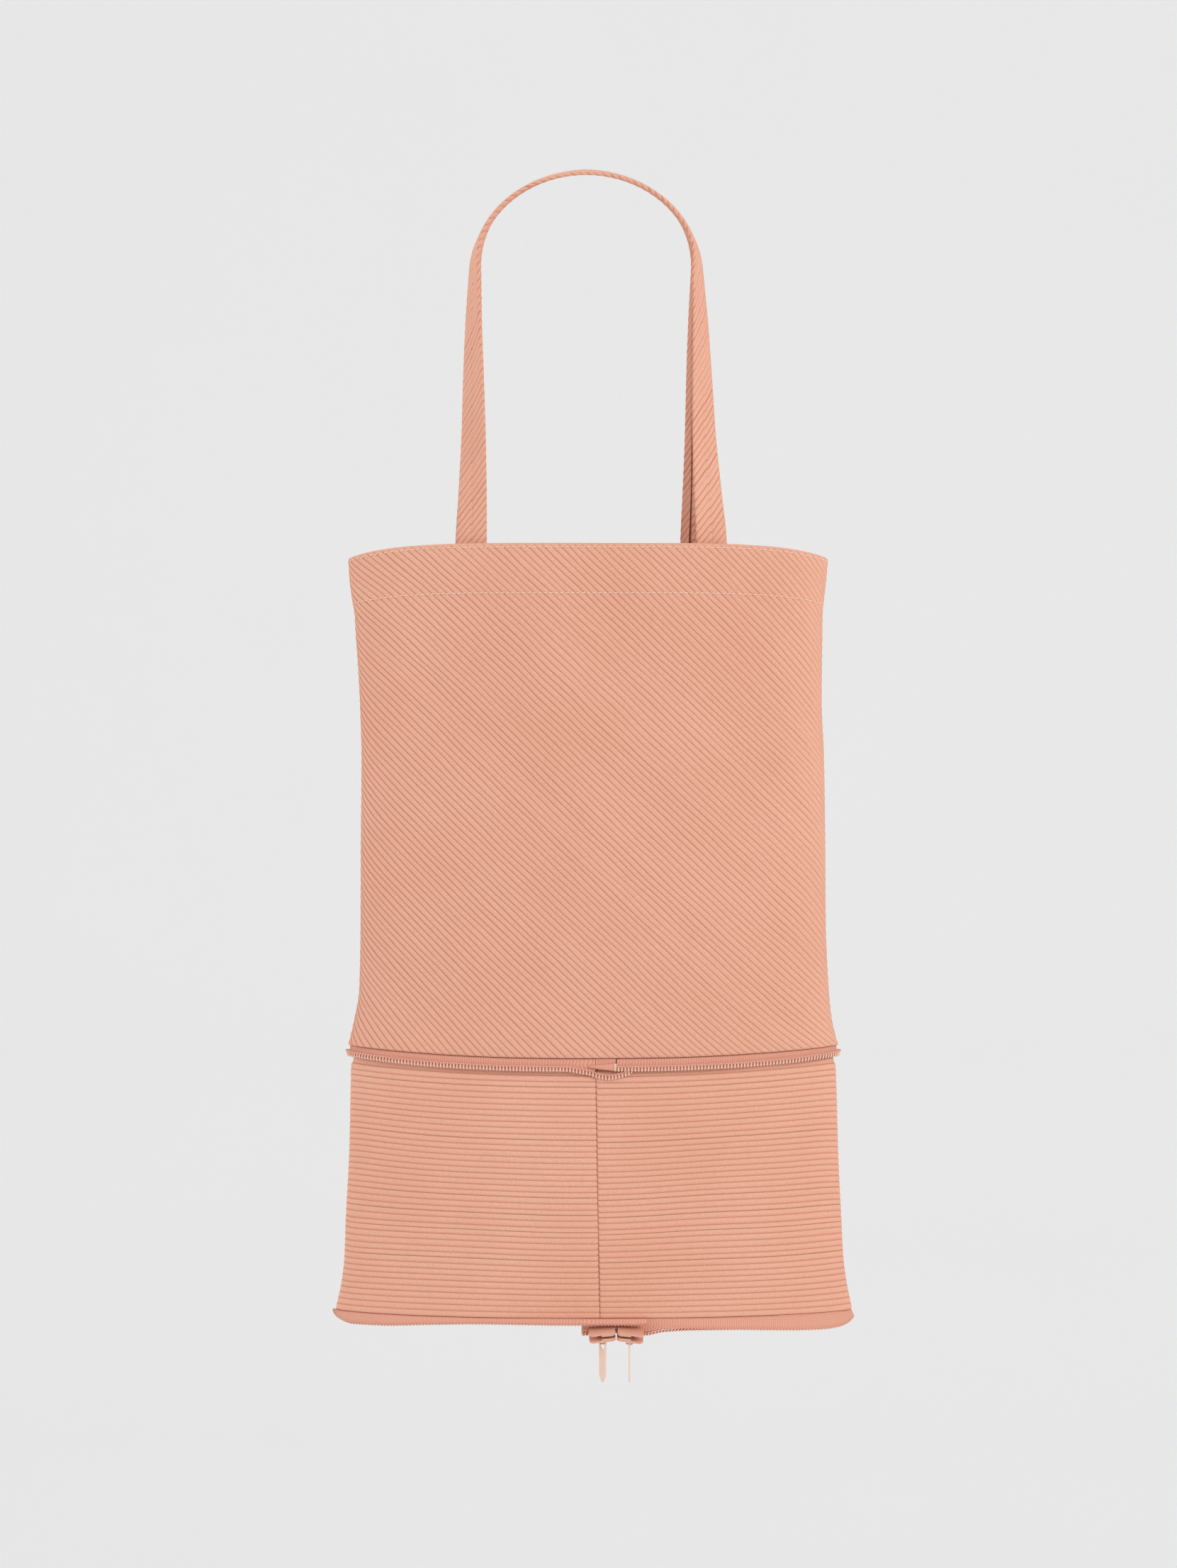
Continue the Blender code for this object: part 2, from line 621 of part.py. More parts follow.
def slider_frame(x_start, x_end):
    """Placement of a slider that holds the lower coil between two places across the front."""
    start = hem_place(angle_at(EXTENSION_SECTIONS, x_start, 1.0))[1]
    end = hem_place(angle_at(EXTENSION_SECTIONS, x_end, 1.0))[1]
    along = (end - start).normalized()
    tilt = math.radians(SLIDER_TILT)
    normal = Vector((0.0, -math.sin(tilt), math.cos(tilt)))
    normal = (normal - along * normal.dot(along)).normalized()
    back = normal.cross(along)
    middle = (start + end) * 0.5 - back * COIL_OFF_SLIDER_MIDDLE
    frame = Matrix((along, back, normal)).transposed().to_4x4()
    frame.translation = middle
    return frame


def prism(name, outline, low, high, collection, axis="Z"):
    """Extrude a flat outline between two heights along Z or along Y."""
    bm = bmesh.new()
    if axis == "Z":
        points = [(u, v, low) for u, v in outline]
        travel = Vector((0.0, 0.0, high - low))
    else:
        points = [(u, low, v) for u, v in outline]
        travel = Vector((0.0, high - low, 0.0))
    face = bm.faces.new([bm.verts.new(point) for point in points])
    grown = bmesh.ops.extrude_face_region(bm, geom=[face])
    moved = [item for item in grown["geom"] if isinstance(item, bmesh.types.BMVert)]
    bmesh.ops.translate(bm, vec=travel, verts=moved)
    return mesh_object(name, bm, collection)


def boolean(target, tool, operation):
    """Add or cut one shape with an exact Boolean modifier."""
    modifier = target.modifiers.new(tool.name, "BOOLEAN")
    modifier.operation = operation
    modifier.object = tool
    modifier.solver = "EXACT"


def rectangle(low_u, high_u, low_v, high_v):
    """Outline of a rectangle."""
    return [(low_u, low_v), (high_u, low_v), (high_u, high_v), (low_u, high_v)]


def slider_outline(inset):
    """Plan of a slider, its head towards +X and its tail towards -X, drawn in by an inset."""
    half, head, tail = SLIDER_LENGTH * 0.5, SLIDER_WIDTH * 0.5 - inset, SLIDER_TAIL_WIDTH * 0.5 - inset
    corner = SLIDER_CORNER
    right = [
        (-half, -tail + corner),
        (-half + corner, -tail),
        (0.0, -tail),
        (SLIDER_SHOULDER, -head),
        (half - corner, -head),
        (half, -head + corner),
    ]
    return right + [(u, -v) for u, v in reversed(right)]


def build_slider(name, frame, head_side, collection, cutters, material):
    """A coil slider: two plates with side lips, a dividing post at the head and a crown for the pull."""
    half, deep = SLIDER_LENGTH * 0.5, SLIDER_THICKNESS * 0.5
    outer = slider_outline(0.0)
    body = prism(name, outer, -deep, deep, collection)
    body.data.materials.append(material)
    room = CHANNEL_HEIGHT * 0.5
    foot = (room + deep) * 0.5
    end = half + CUT_OVERRUN
    inner = [(u * end / half, v) for u, v in slider_outline(LIP_WIDTH)]
    channel = prism(name + "_channel", inner, -room, room, cutters)
    slit_outline = rectangle(-end, end, -SLIDER_WIDTH, SLIDER_WIDTH)
    slit = prism(name + "_slit", slit_outline, -SLIT_HEIGHT * 0.5, SLIT_HEIGHT * 0.5, cutters)
    mouth_outline = rectangle(half * MOUTH_START, end, -SLIDER_WIDTH, SLIDER_WIDTH)
    mouth = prism(name + "_mouth", mouth_outline, -room, room, cutters)
    nose = half - SLIDER_CORNER * 0.5
    rear = nose - POST_LENGTH
    post_outline = [
        (rear, 0.0),
        ((rear + nose) * 0.5, -POST_WIDTH * 0.5),
        (nose, -POST_WIDTH * 0.5),
        (nose, POST_WIDTH * 0.5),
        ((rear + nose) * 0.5, POST_WIDTH * 0.5),
    ]
    post = prism(name + "_post", post_outline, -foot, foot, cutters)
    reach, width = CROWN_LENGTH * 0.5, CROWN_WIDTH * 0.5
    low = deep + CROWN_OPENING + CROWN_WALL
    crown_outline = [
        (-reach, -foot),
        (-reach, -low + CROWN_WALL),
        (-reach + CROWN_WALL, -low),
        (reach - CROWN_WALL, -low),
        (reach, -low + CROWN_WALL),
        (reach, -foot),
        (reach - CROWN_WALL, -foot),
        (reach - CROWN_WALL, -low + CROWN_WALL),
        (-reach + CROWN_WALL, -low + CROWN_WALL),
        (-reach + CROWN_WALL, -foot),
    ]
    crown = prism(name + "_crown", crown_outline, -width, width, cutters, axis="Y")
    for tool, operation in (
        (channel, "DIFFERENCE"),
        (slit, "DIFFERENCE"),
        (mouth, "DIFFERENCE"),
        (post, "UNION"),
        (crown, "UNION"),
    ):
        boolean(body, tool, operation)
    placement = frame @ Matrix.Diagonal((head_side, head_side, 1.0, 1.0))
    for thing in (body, channel, slit, mouth, post, crown):
        thing.matrix_world = placement
    return body


def pull_pivot(frame):
    """Middle of the pull's bar, low in the crown's opening."""
    below = SLIDER_THICKNESS * 0.5 + CROWN_OPENING - PULL_SEAT
    return frame @ Vector((0.0, 0.0, -below))


def build_pull(name, pivot, turn, collection, cutters, material):
    """A flat pull tab that hangs by the bar over its slot, with its origin on the bar's axis."""
    half, bar = PULL_WIDTH * 0.5, PULL_BAR * 0.5
    bottom = bar - PULL_LENGTH
    corner = PULL_BAR * 0.5
    outline = [
        (-half, bar - corner),
        (-half + corner, bar),
        (half - corner, bar),
        (half, bar - corner),
        (half * PULL_TAPER, bottom + PULL_POINT),
        (half * PULL_TIP_SHARE, bottom),
        (-half * PULL_TIP_SHARE, bottom),
        (-half * PULL_TAPER, bottom + PULL_POINT),
    ]
    slot_half = PULL_SLOT_WIDTH * 0.5
    slot_low = -bar - PULL_SLOT_LENGTH
    slot_outline = [
        (-slot_half, -bar),
        (slot_half, -bar),
        (slot_half, slot_low + slot_half),
        (slot_half * PULL_TIP_SHARE, slot_low),
        (-slot_half * PULL_TIP_SHARE, slot_low),
        (-slot_half, slot_low + slot_half),
    ]
    thick = PULL_THICKNESS * 0.5
    tab = prism(name, outline, -thick, thick, collection, axis="Y")
    slot = prism(name + "_slot", slot_outline, -PULL_THICKNESS, PULL_THICKNESS, cutters, axis="Y")
    boolean(tab, slot, "DIFFERENCE")
    tab.data.materials.append(material)
    for thing in (tab, slot):
        thing.location = pivot
        thing.rotation_euler = (0.0, 0.0, math.radians(90.0 + turn))
    return tab


def hide_cutters(cutters):
    """Show the cutting shapes as wires and keep them out of renders."""
    for tool in cutters.objects:
        tool.hide_render = True
        tool.display_type = "WIRE"


def main():
    """Build the bag."""
    clear_scene()
    bag = new_collection("expandable_tote_bag")
    cutters = new_collection("cutters")
    cloth = make_material("pleated_cloth", CLOTH_COLOUR, 0.8)
    tape = make_material("zip_tape", TAPE_COLOUR, 0.85)
    coil = make_material("zip_coil", COIL_COLOUR, 0.4)
    enamel = make_material("slider_enamel", SLIDER_COLOUR, 0.35)
    pale = make_material("pull_enamel", PULL_COLOUR, 0.3)
    build_upper_body(bag, cloth)
    build_extension(bag, cloth)
    build_bottom_panel(bag, cloth)
    build_handle("handle_front", FRONT_LEFT_REACH, FRONT_RIGHT_REACH, -1.0, bag, cloth)
    build_handle("handle_back", BACK_LEFT_REACH, BACK_RIGHT_REACH, 1.0, bag, cloth)
    build_upper_tape(bag, tape)
    build_upper_coil(bag, coil)
    build_end_tab(bag, tape)
    build_lower_tape(bag, tape)
    build_lower_coil(bag, coil)
    near = (SLIDER_SPACING - SLIDER_LENGTH) * 0.5
    far = near + SLIDER_LENGTH
    left = slider_frame(SLIDER_PAIR_X - far, SLIDER_PAIR_X - near)
    right = slider_frame(SLIDER_PAIR_X + near, SLIDER_PAIR_X + far)
    build_slider("slider_left", left, -1.0, bag, cutters, enamel)
    build_slider("slider_right", right, 1.0, bag, cutters, enamel)
    build_pull("pull_left", pull_pivot(left), LEFT_PULL_TURN, bag, cutters, pale)
    build_pull("pull_right", pull_pivot(right), 0.0, bag, cutters, pale)
    hide_cutters(cutters)


if __name__ == "__main__":
    main()
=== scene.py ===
"""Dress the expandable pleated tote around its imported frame.

Units are metres in the part's own frame: +Z is up, the front faces -Y, and the origin is the point
under the top of the handles, where the bag hangs.
"""

import logging
import math
from dataclasses import dataclass
from enum import Enum
from typing import Callable, NamedTuple, Sequence

import bmesh
import bpy
import numpy as np
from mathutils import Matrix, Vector


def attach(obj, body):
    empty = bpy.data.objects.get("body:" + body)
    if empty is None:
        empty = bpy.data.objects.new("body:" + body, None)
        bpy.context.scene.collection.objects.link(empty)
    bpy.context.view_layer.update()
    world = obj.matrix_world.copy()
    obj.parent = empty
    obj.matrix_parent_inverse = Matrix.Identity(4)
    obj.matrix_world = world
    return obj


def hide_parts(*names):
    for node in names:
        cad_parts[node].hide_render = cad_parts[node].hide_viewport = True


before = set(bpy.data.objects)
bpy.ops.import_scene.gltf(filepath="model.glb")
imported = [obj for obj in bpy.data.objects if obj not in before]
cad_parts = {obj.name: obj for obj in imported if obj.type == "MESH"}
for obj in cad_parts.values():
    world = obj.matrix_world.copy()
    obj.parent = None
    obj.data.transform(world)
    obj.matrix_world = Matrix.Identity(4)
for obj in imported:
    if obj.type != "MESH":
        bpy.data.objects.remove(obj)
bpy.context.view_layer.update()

LOG = logging.getLogger("tote")
MM = 0.001
FRONT = -90.0
UP = np.array([0.0, 0.0, 1.0])
SMOOTH = 180.0
CREASED = 60.0
ROUND = np.linspace(0.0, 360.0, 721)
Triple = tuple[float, float, float]
Colour = Triple
Place = Callable[[np.ndarray, np.ndarray], np.ndarray]


class Wall(Enum):
    """The two walls of the bag that a handle is sewn to."""

    FRONT = -1.0
    BACK = 1.0


class Section(NamedTuple):
    """A level section of the bag, as shares of a height, the half width and the half depth."""

    down: float
    left: float
    right: float
    depth: float


class Fold(NamedTuple):
    """A soft upright undulation: angle and reach in degrees, depth in metres at mouth and seam."""

    angle: float
    reach: float
    top: float
    bottom: float


class Pucker(NamedTuple):
    """A small gather in the front wall: place, half width, half height and depth in millimetres."""

    x: float
    z: float
    wide: float
    high: float
    deep: float


class LegRow(NamedTuple):
    """A place down a handle's leg: shares of its way sideways and apart, and its turn in degrees."""

    down: float
    reach: float
    apart: float
    turn: float


class ArchRow(NamedTuple):
    """A place along a quarter of the handles' arch and the turns in degrees of both straps there."""

    share: float
    front: float
    back: float


class DipRow(NamedTuple):
    """A place across the front and the share of the free coil end's dip there."""

    across: float
    share: float


class HemRow(NamedTuple):
    """A place round the hem, with the coil's drop, its standoff, the tape top's and the coil's lie."""

    angle: float
    drop: float
    standoff: float
    top: float
    tilt: float


class Rib(NamedTuple):
    """A point across a pleat: its place as a share of the pitch, its height and how shaded it is."""

    phase: float
    relief: float
    crease_shade: float


def table(kind: type, *rows: tuple[float, ...]) -> tuple:
    """Fill a table with rows of one kind."""
    return tuple(kind(*row) for row in rows)


UPPER_SECTIONS = table(
    Section,
    (0.00, 1.000, 0.997, 0.90), (0.05, 0.994, 0.989, 0.92), (0.10, 0.980, 0.978, 0.94),
    (0.17, 0.970, 0.976, 0.97), (0.30, 0.954, 0.973, 1.02), (0.42, 0.947, 0.983, 1.05),
    (0.60, 0.950, 0.988, 1.06), (0.75, 0.951, 0.990, 1.04), (0.89, 0.957, 1.003, 1.00),
    (0.95, 0.978, 1.016, 0.98), (1.00, 1.002, 1.042, 0.97),
)
EXTENSION_SECTIONS = table(
    Section,
    (0.00, 0.981, 1.021, 0.88), (0.05, 0.982, 1.022, 0.88), (0.08, 0.994, 1.033, 0.94),
    (0.45, 1.003, 1.045, 0.99), (0.66, 1.013, 1.056, 0.98), (0.80, 1.018, 1.064, 0.96),
    (0.90, 1.031, 1.078, 0.95), (1.00, 1.055, 1.100, 0.94),
)
WALL_FOLDS = table(
    Fold,
    (-132.0, 8.0, -1.26 * MM, -0.38 * MM), (-100.0, 8.0, 1.12 * MM, 0.22 * MM),
    (-84.0, 7.0, -1.12 * MM, -0.34 * MM), (-48.0, 8.0, -1.26 * MM, -0.63 * MM),
    (50.0, 8.0, -1.01 * MM, -0.5 * MM), (90.0, 12.0, 1.01 * MM, 0.34 * MM),
    (132.0, 8.0, -0.78 * MM, -0.45 * MM),
)
PUCKERS = table(
    Pucker,
    (-85.0, -250.0, 1.6, 9.0, 0.5), (-104.0, -254.0, 1.4, 6.0, 0.4), (-64.0, -252.0, 1.3, 7.0, -0.4),
    (49.0, -249.0, 1.6, 8.0, -0.5), (63.5, -252.0, 1.5, 8.0, 0.5), (89.0, -255.0, 1.3, 9.0, 0.55),
    (99.0, -254.0, 1.4, 6.0, -0.4), (72.0, -268.0, 1.8, 9.0, -0.3), (91.0, -288.0, 1.8, 10.0, -0.35),
    (66.0, -262.0, 2.4, 14.0, 0.3), (73.0, -330.0, 2.2, 16.0, 0.3), (90.0, -330.0, 2.0, 18.0, -0.3),
    (-70.0, -300.0, 2.2, 12.0, 0.3), (-55.0, -330.0, 2.4, 14.0, -0.25),
)
LEG_ROWS = table(
    LegRow,
    (0.00, 0.00, 0.00, 73.0), (0.20, 0.24, 0.06, 63.0), (0.40, 0.34, 0.20, 53.0), (0.60, 0.44, 0.43, 44.0),
    (0.80, 0.70, 0.74, 32.0), (1.00, 1.00, 1.00, 17.0), (1.16, 1.00, 1.00, 6.0),
)
ARCH_ROWS = table(
    ArchRow,
    (0.00, 73.0, 73.0), (0.12, 80.0, 79.0), (0.25, 84.0, 87.0), (0.40, 83.0, 94.0),
    (0.60, 82.0, 96.0), (1.00, 77.0, 97.0),
)
DIP_ROWS = table(
    DipRow,
    (-0.75, 0.00), (0.00, 0.42), (0.40, 0.85), (0.72, 1.00), (1.10, 0.82), (1.56, 0.50),
)
HEM_ROWS = table(
    HemRow,
    (-91.0, 1.76, 0.5, 0.00, 1.0), (-85.5, 1.46, 0.5, 0.00, 1.0), (-80.3, 1.78, 0.5, 0.00, 1.0),
    (-76.0, 1.42, 0.3, 0.00, 0.6), (-70.0, 1.32, 0.1, 0.00, 0.2), (-60.0, 1.38, 0.0, 0.00, 0.0),
    (-50.0, 1.55, 0.0, 0.00, 0.0), (-40.0, 1.72, 0.0, 0.00, 0.0), (-30.0, 1.80, 0.0, 0.00, 0.0),
    (-20.0, 1.68, 0.0, 0.00, 0.0), (-12.0, 1.40, 0.0, 0.00, 0.0), (-4.0, 1.02, 0.0, 0.00, 0.0),
    (8.0, 0.90, 0.0, 0.00, 0.0), (90.0, 1.00, 0.0, 0.00, 0.0), (150.0, 0.90, 0.0, 0.00, 0.0),
    (172.0, 0.42, 0.15, 0.00, 0.0), (181.0, 0.34, 0.2, 0.00, 0.0), (190.0, 0.80, 0.15, 0.00, 0.0),
    (203.0, 1.26, 0.0, 0.00, 0.0), (218.0, 1.20, 0.0, 0.00, 0.0), (236.0, 0.84, 0.0, 0.00, 0.0),
    (248.0, 0.66, 0.0, 0.00, 0.0), (256.0, 0.64, 0.3, 0.10, 0.0), (266.0, 0.62, 1.0, 0.34, 0.0),
    (278.0, 0.62, 1.0, 0.34, 0.0), (280.5, 0.45, 1.0, 0.34, 0.0),
)
# Across a diagonal pleat, from its crease towards the upper right
DIAGONAL_RIB = table(
    Rib,
    (0.000, -0.34 * MM, 1.0), (0.080, -0.12 * MM, 0.15), (0.420, 0.00 * MM, 0.0),
    (0.800, 0.12 * MM, 0.0), (0.930, 0.12 * MM, 0.0), (0.970, -0.30 * MM, 0.9),
)
# Along a strap, across its slanting pleats
STRAP_RIB = table(
    Rib,
    (0.000, -0.20 * MM, 1.0), (0.080, -0.04 * MM, 0.15), (0.480, 0.02 * MM, 0.0),
    (0.880, 0.08 * MM, 0.0), (0.950, -0.16 * MM, 0.8),
)
# Down a level pleat, from its crease
LEVEL_RIB = table(
    Rib,
    (0.000, -0.40 * MM, 0.8), (0.050, -0.30 * MM, 0.5), (0.110, 0.10 * MM, 0.0),
    (0.260, 0.12 * MM, 0.0), (0.600, 0.00 * MM, 0.0), (0.930, -0.16 * MM, 0.2),
)


def read_rows(rows: Sequence[NamedTuple], column: str, key: str, at: np.ndarray) -> np.ndarray:
    """Read a column of a table by a smooth curve through its rows.

    Args:
        rows: The table, in rising order of its key.
        column: Name of the column to read.
        key: Name of the column that holds the keys.
        at: Keys to read it at.

    Returns:
        The column's value at each key.
    """
    keys = np.array([getattr(row, key) for row in rows])
    values = np.array([getattr(row, column) for row in rows])
    secants = np.diff(values) / np.diff(keys)
    before, after = secants[:-1], secants[1:]
    product = before * after
    inner = np.where(product > 0.0, 2.0 * product / np.where(product > 0.0, before + after, 1.0), 0.0)
    slopes = np.concatenate((secants[:1], inner, secants[-1:]))
    place = np.clip(np.searchsorted(keys, at, side="right") - 1, 0, len(secants) - 1)
    span = keys[place + 1] - keys[place]
    share = np.clip((at - keys[place]) / span, 0.0, 1.0)
    square, cube = share**2, share**3
    return (
        values[place] * (2.0 * cube - 3.0 * square + 1.0)
        + span * slopes[place] * (cube - 2.0 * square + share)
        + values[place + 1] * (3.0 * square - 2.0 * cube)
        + span * slopes[place + 1] * (cube - square)
    )


def ripple(seed: int, *phases: np.ndarray) -> np.ndarray:
    """Smooth noise between about -1 and 1, as a sum of waves over some phases in radians.

    Args:
        seed: Chooses the waves.
        phases: Coordinates that the waves run over, one array for each direction.

    Returns:
        The noise at each place.
    """
    draw = np.random.default_rng(seed)
    total = np.zeros_like(phases[0], dtype=float)
    for _ in range(5):
        wave = sum(phase * draw.uniform(-1.6, 1.6) for phase in phases)
        total += np.sin(wave + draw.uniform(0.0, 2.0 * math.pi)) / 3.0
    return total


def unit(rows: np.ndarray) -> np.ndarray:
    """Scale each row of an array to a length of one."""
    return rows / np.linalg.norm(rows, axis=-1, keepdims=True)


def stations(points: np.ndarray) -> np.ndarray:
    """Length of the way from the first of some points to each of them."""
    return np.concatenate(([0.0], np.cumsum(np.linalg.norm(np.diff(points, axis=0), axis=1))))


def length_of(points: np.ndarray) -> float:
    """Length of the way along some points."""
    return float(np.linalg.norm(np.diff(points, axis=0), axis=1).sum())


def bell(away: np.ndarray, reach: float) -> np.ndarray:
    """A soft hump, one at its middle, that falls away over a reach."""
    return np.exp(-((away / reach) ** 2))


def turned(angle: np.ndarray) -> np.ndarray:
    """Angles in degrees, brought between -180 and 180."""
    return (angle + 180.0) % 360.0 - 180.0


def signed_power(base: np.ndarray, power: float) -> np.ndarray:
    """Raise the sizes of numbers to a power and keep their signs."""
    return np.sign(base) * np.abs(base) ** power


@dataclass(frozen=True)
class BagForm:
    """The smooth shape of the bag's two cloth tubes, which every other piece follows."""

    handle_drop: float = 226.6 * MM
    upper_height: float = 308.8 * MM
    extension_height: float = 155.8 * MM
    half_width: float = 145.5 * MM
    half_depth: float = 34.0 * MM
    mouth_droop: float = 7.7 * MM
    seam_sag: float = 6.5 * MM
    hem_sag: float = 2.4 * MM
    squareness: float = 2.25
    gap: float = 0.3 * MM

    def oval(
        self, rows: Sequence[Section], angle: np.ndarray, down: np.ndarray, inset: np.ndarray
    ) -> np.ndarray:
        """Points of a tube's flattened oval, level, moved inwards by an inset.

        Args:
            rows: The tube's sections.
            angle: Angles round the bag in degrees.
            down: Shares down the tube.
            inset: How far inside the outline the points lie.

        Returns:
            An array of points whose height is zero.
        """
        left, right, depth = (read_rows(rows, column, "down", down) for column in ("left", "right", "depth"))
        across, along = np.cos(np.radians(angle)), np.sin(np.radians(angle))
        power = 2.0 / self.squareness
        half = np.where(across >= 0.0, right, left) * self.half_width
        deep = depth * self.half_depth
        x = signed_power(across, power) * half
        y = signed_power(along, power) * deep
        out_x = signed_power(across, 2.0 - power) / half
        out_y = signed_power(along, 2.0 - power) / deep
        size = np.hypot(out_x, out_y)
        return np.stack((x - out_x / size * inset, y - out_y / size * inset, np.zeros_like(x)), axis=-1)

    def upper(self, angle: np.ndarray, down: np.ndarray, inset: np.ndarray) -> np.ndarray:
        """Points of the upper body's wall at angles in degrees and shares down from the mouth."""
        angle, down, inset = np.broadcast_arrays(angle, down, inset)
        bulge = np.zeros_like(angle, dtype=float)
        for fold in WALL_FOLDS:
            hump = bell(turned(angle - fold.angle), fold.reach)
            bulge += (fold.top + (fold.bottom - fold.top) * down) * hump
        place = self.oval(UPPER_SECTIONS, angle, np.clip(down, 0.0, 1.0), inset - bulge)
        side = np.abs(np.cos(np.radians(angle)))
        droop = self.mouth_droop * np.clip(1.0 - down, 0.0, 1.0) ** 3 * side**5
        sag = self.seam_sag * np.clip(down, 0.0, None) ** 1.5 * side**2
        place[..., 2] = -self.handle_drop - self.upper_height * down - droop + sag
        return place

    def extension(self, angle: np.ndarray, down: np.ndarray, inset: np.ndarray) -> np.ndarray:
        """Points of the extension's wall at angles in degrees and shares down from the seam."""
        angle, down, inset = np.broadcast_arrays(angle, down, inset)
        place = self.oval(EXTENSION_SECTIONS, angle, np.clip(down, 0.0, 1.0), inset)
        side = np.abs(np.cos(np.radians(angle)))
        sag = (self.seam_sag + (self.hem_sag - self.seam_sag) * down) * side**2
        drop = (self.extension_height - self.gap) * down
        place[..., 2] = -self.handle_drop - self.upper_height - self.gap - drop + sag
        return place

    def angles_by_length(self, rows: Sequence[Section], down: float, shares: np.ndarray) -> np.ndarray:
        """Angles at which shares of a section's length are reached, from the middle of the front.

        Args:
            rows: The tube's sections.
            down: Share down the tube.
            shares: Shares of the way round, of which only the part after the point counts.

        Returns:
            The angle in degrees for each share.
        """
        fine = np.linspace(FRONT, FRONT + 360.0, 1441)
        level = self.oval(rows, fine, np.full_like(fine, down), np.zeros_like(fine))
        length = stations(level)
        turns = np.floor(shares)
        return np.interp(shares - turns, length / length[-1], fine) + 360.0 * turns

    def angle_at(self, rows: Sequence[Section], x: float, down: float) -> float:
        """Angle on the front of a tube at a place across it."""
        column = "right" if x >= 0.0 else "left"
        half = self.half_width * float(read_rows(rows, column, "down", np.array(down)))
        across = (abs(x) / half) ** (self.squareness / 2.0)
        return FRONT + math.copysign(math.degrees(math.asin(across)), x)


FORM = BagForm()


class Signal:
    """A number in a shader, to which Python's operators add Math nodes."""

    def __init__(self, graph: "Graph", socket: bpy.types.NodeSocket) -> None:
        """Wrap a node's output."""
        self.graph = graph
        self.socket = socket

    def math(self, operation: str, first: object, second: object = 0.0) -> "Signal":
        """Add a Math node.

        Args:
            operation: The node's operation.
            first: Its first value, a Signal or a number.
            second: Its second value, a Signal or a number.

        Returns:
            The node's output.
        """
        node = self.graph.node("ShaderNodeMath", {"operation": operation}, {0: first, 1: second})
        return Signal(self.graph, node.outputs[0])

    def __add__(self, other: object) -> "Signal":
        """Add."""
        return self.math("ADD", self, other)

    def __radd__(self, other: object) -> "Signal":
        """Add, from the right."""
        return self.math("ADD", other, self)

    def __sub__(self, other: object) -> "Signal":
        """Subtract."""
        return self.math("SUBTRACT", self, other)

    def __rsub__(self, other: object) -> "Signal":
        """Subtract from."""
        return self.math("SUBTRACT", other, self)

    def __mul__(self, other: object) -> "Signal":
        """Multiply."""
        return self.math("MULTIPLY", self, other)

    def sine(self) -> "Signal":
        """Take the sine."""
        return self.math("SINE", self)


class Graph:
    """The nodes of one material."""

    def __init__(self, name: str) -> None:
        """Start a material with its Principled shader."""
        self.material = bpy.data.materials.new(name)
        self.material.use_nodes = True
        self.tree = self.material.node_tree
        self.shader = self.tree.nodes["Principled BSDF"]

    def node(
        self, kind: str, settings: dict[str, object] | None = None, values: dict | None = None
    ) -> bpy.types.Node:
        """Add a node.

        Args:
            kind: The node's type.
            settings: Its own settings, set before its sockets.
            values: Values or links of its input sockets, by name or number.

        Returns:
            The node.
        """
        made = self.tree.nodes.new(kind)
        for name, value in (settings or {}).items():
            setattr(made, name, value)
        for name, value in (values or {}).items():
            self.feed(made.inputs[name], value)
        return made

    def feed(self, socket: bpy.types.NodeSocket, value: object) -> None:
        """Link a socket or set its value."""
        if isinstance(value, Signal):
            self.tree.links.new(value.socket, socket)
        elif isinstance(value, bpy.types.NodeSocket):
            self.tree.links.new(value, socket)
        elif isinstance(value, tuple) and socket.type == "RGBA":
            socket.default_value = (*value, 1.0)
        else:
            socket.default_value = value

    def set(self, **values: object) -> None:
        """Feed sockets of the Principled shader, named with underscores for spaces."""
        for name, value in values.items():
            self.feed(self.shader.inputs[name.replace("_", " ")], value)

    def place(self, scale: Triple = (1.0, 1.0, 1.0), kind: str = "Object") -> bpy.types.NodeSocket:
        """Coordinates of a kind, scaled along each axis."""
        coordinates = self.node("ShaderNodeTexCoord").outputs[kind]
        mapping = self.node("ShaderNodeMapping", None, {"Vector": coordinates, "Scale": scale})
        return mapping.outputs["Vector"]

    def noise(self, scale: float, detail: float, vector: bpy.types.NodeSocket) -> Signal:
        """Soft noise between 0 and 1."""
        values = {"Vector": vector, "Scale": scale, "Detail": detail, "Roughness": 0.55}
        return Signal(self, self.node("ShaderNodeTexNoise", None, values).outputs[0])

    def attribute(self, name: str) -> Signal:
        """A number that the piece's own points carry."""
        return Signal(self, self.node("ShaderNodeAttribute", {"attribute_name": name}).outputs["Fac"])

    def axis(self, vector: bpy.types.NodeSocket, axis: str) -> Signal:
        """One component of a vector."""
        return Signal(self, self.node("ShaderNodeSeparateXYZ", None, {0: vector}).outputs[axis])

    def mix(self, factor: object, first: object, second: object) -> bpy.types.NodeSocket:
        """Mix two colours."""
        settings = {"data_type": "RGBA", "clamp_factor": True}
        return self.node("ShaderNodeMix", settings, {0: factor, 6: first, 7: second}).outputs[2]

    def bump(self, height: Signal, depth: float) -> bpy.types.NodeSocket:
        """A normal from a height, whose full range is a depth in metres."""
        values = {"Height": height, "Distance": depth, "Strength": 1.0}
        return self.node("ShaderNodeBump", None, values).outputs["Normal"]


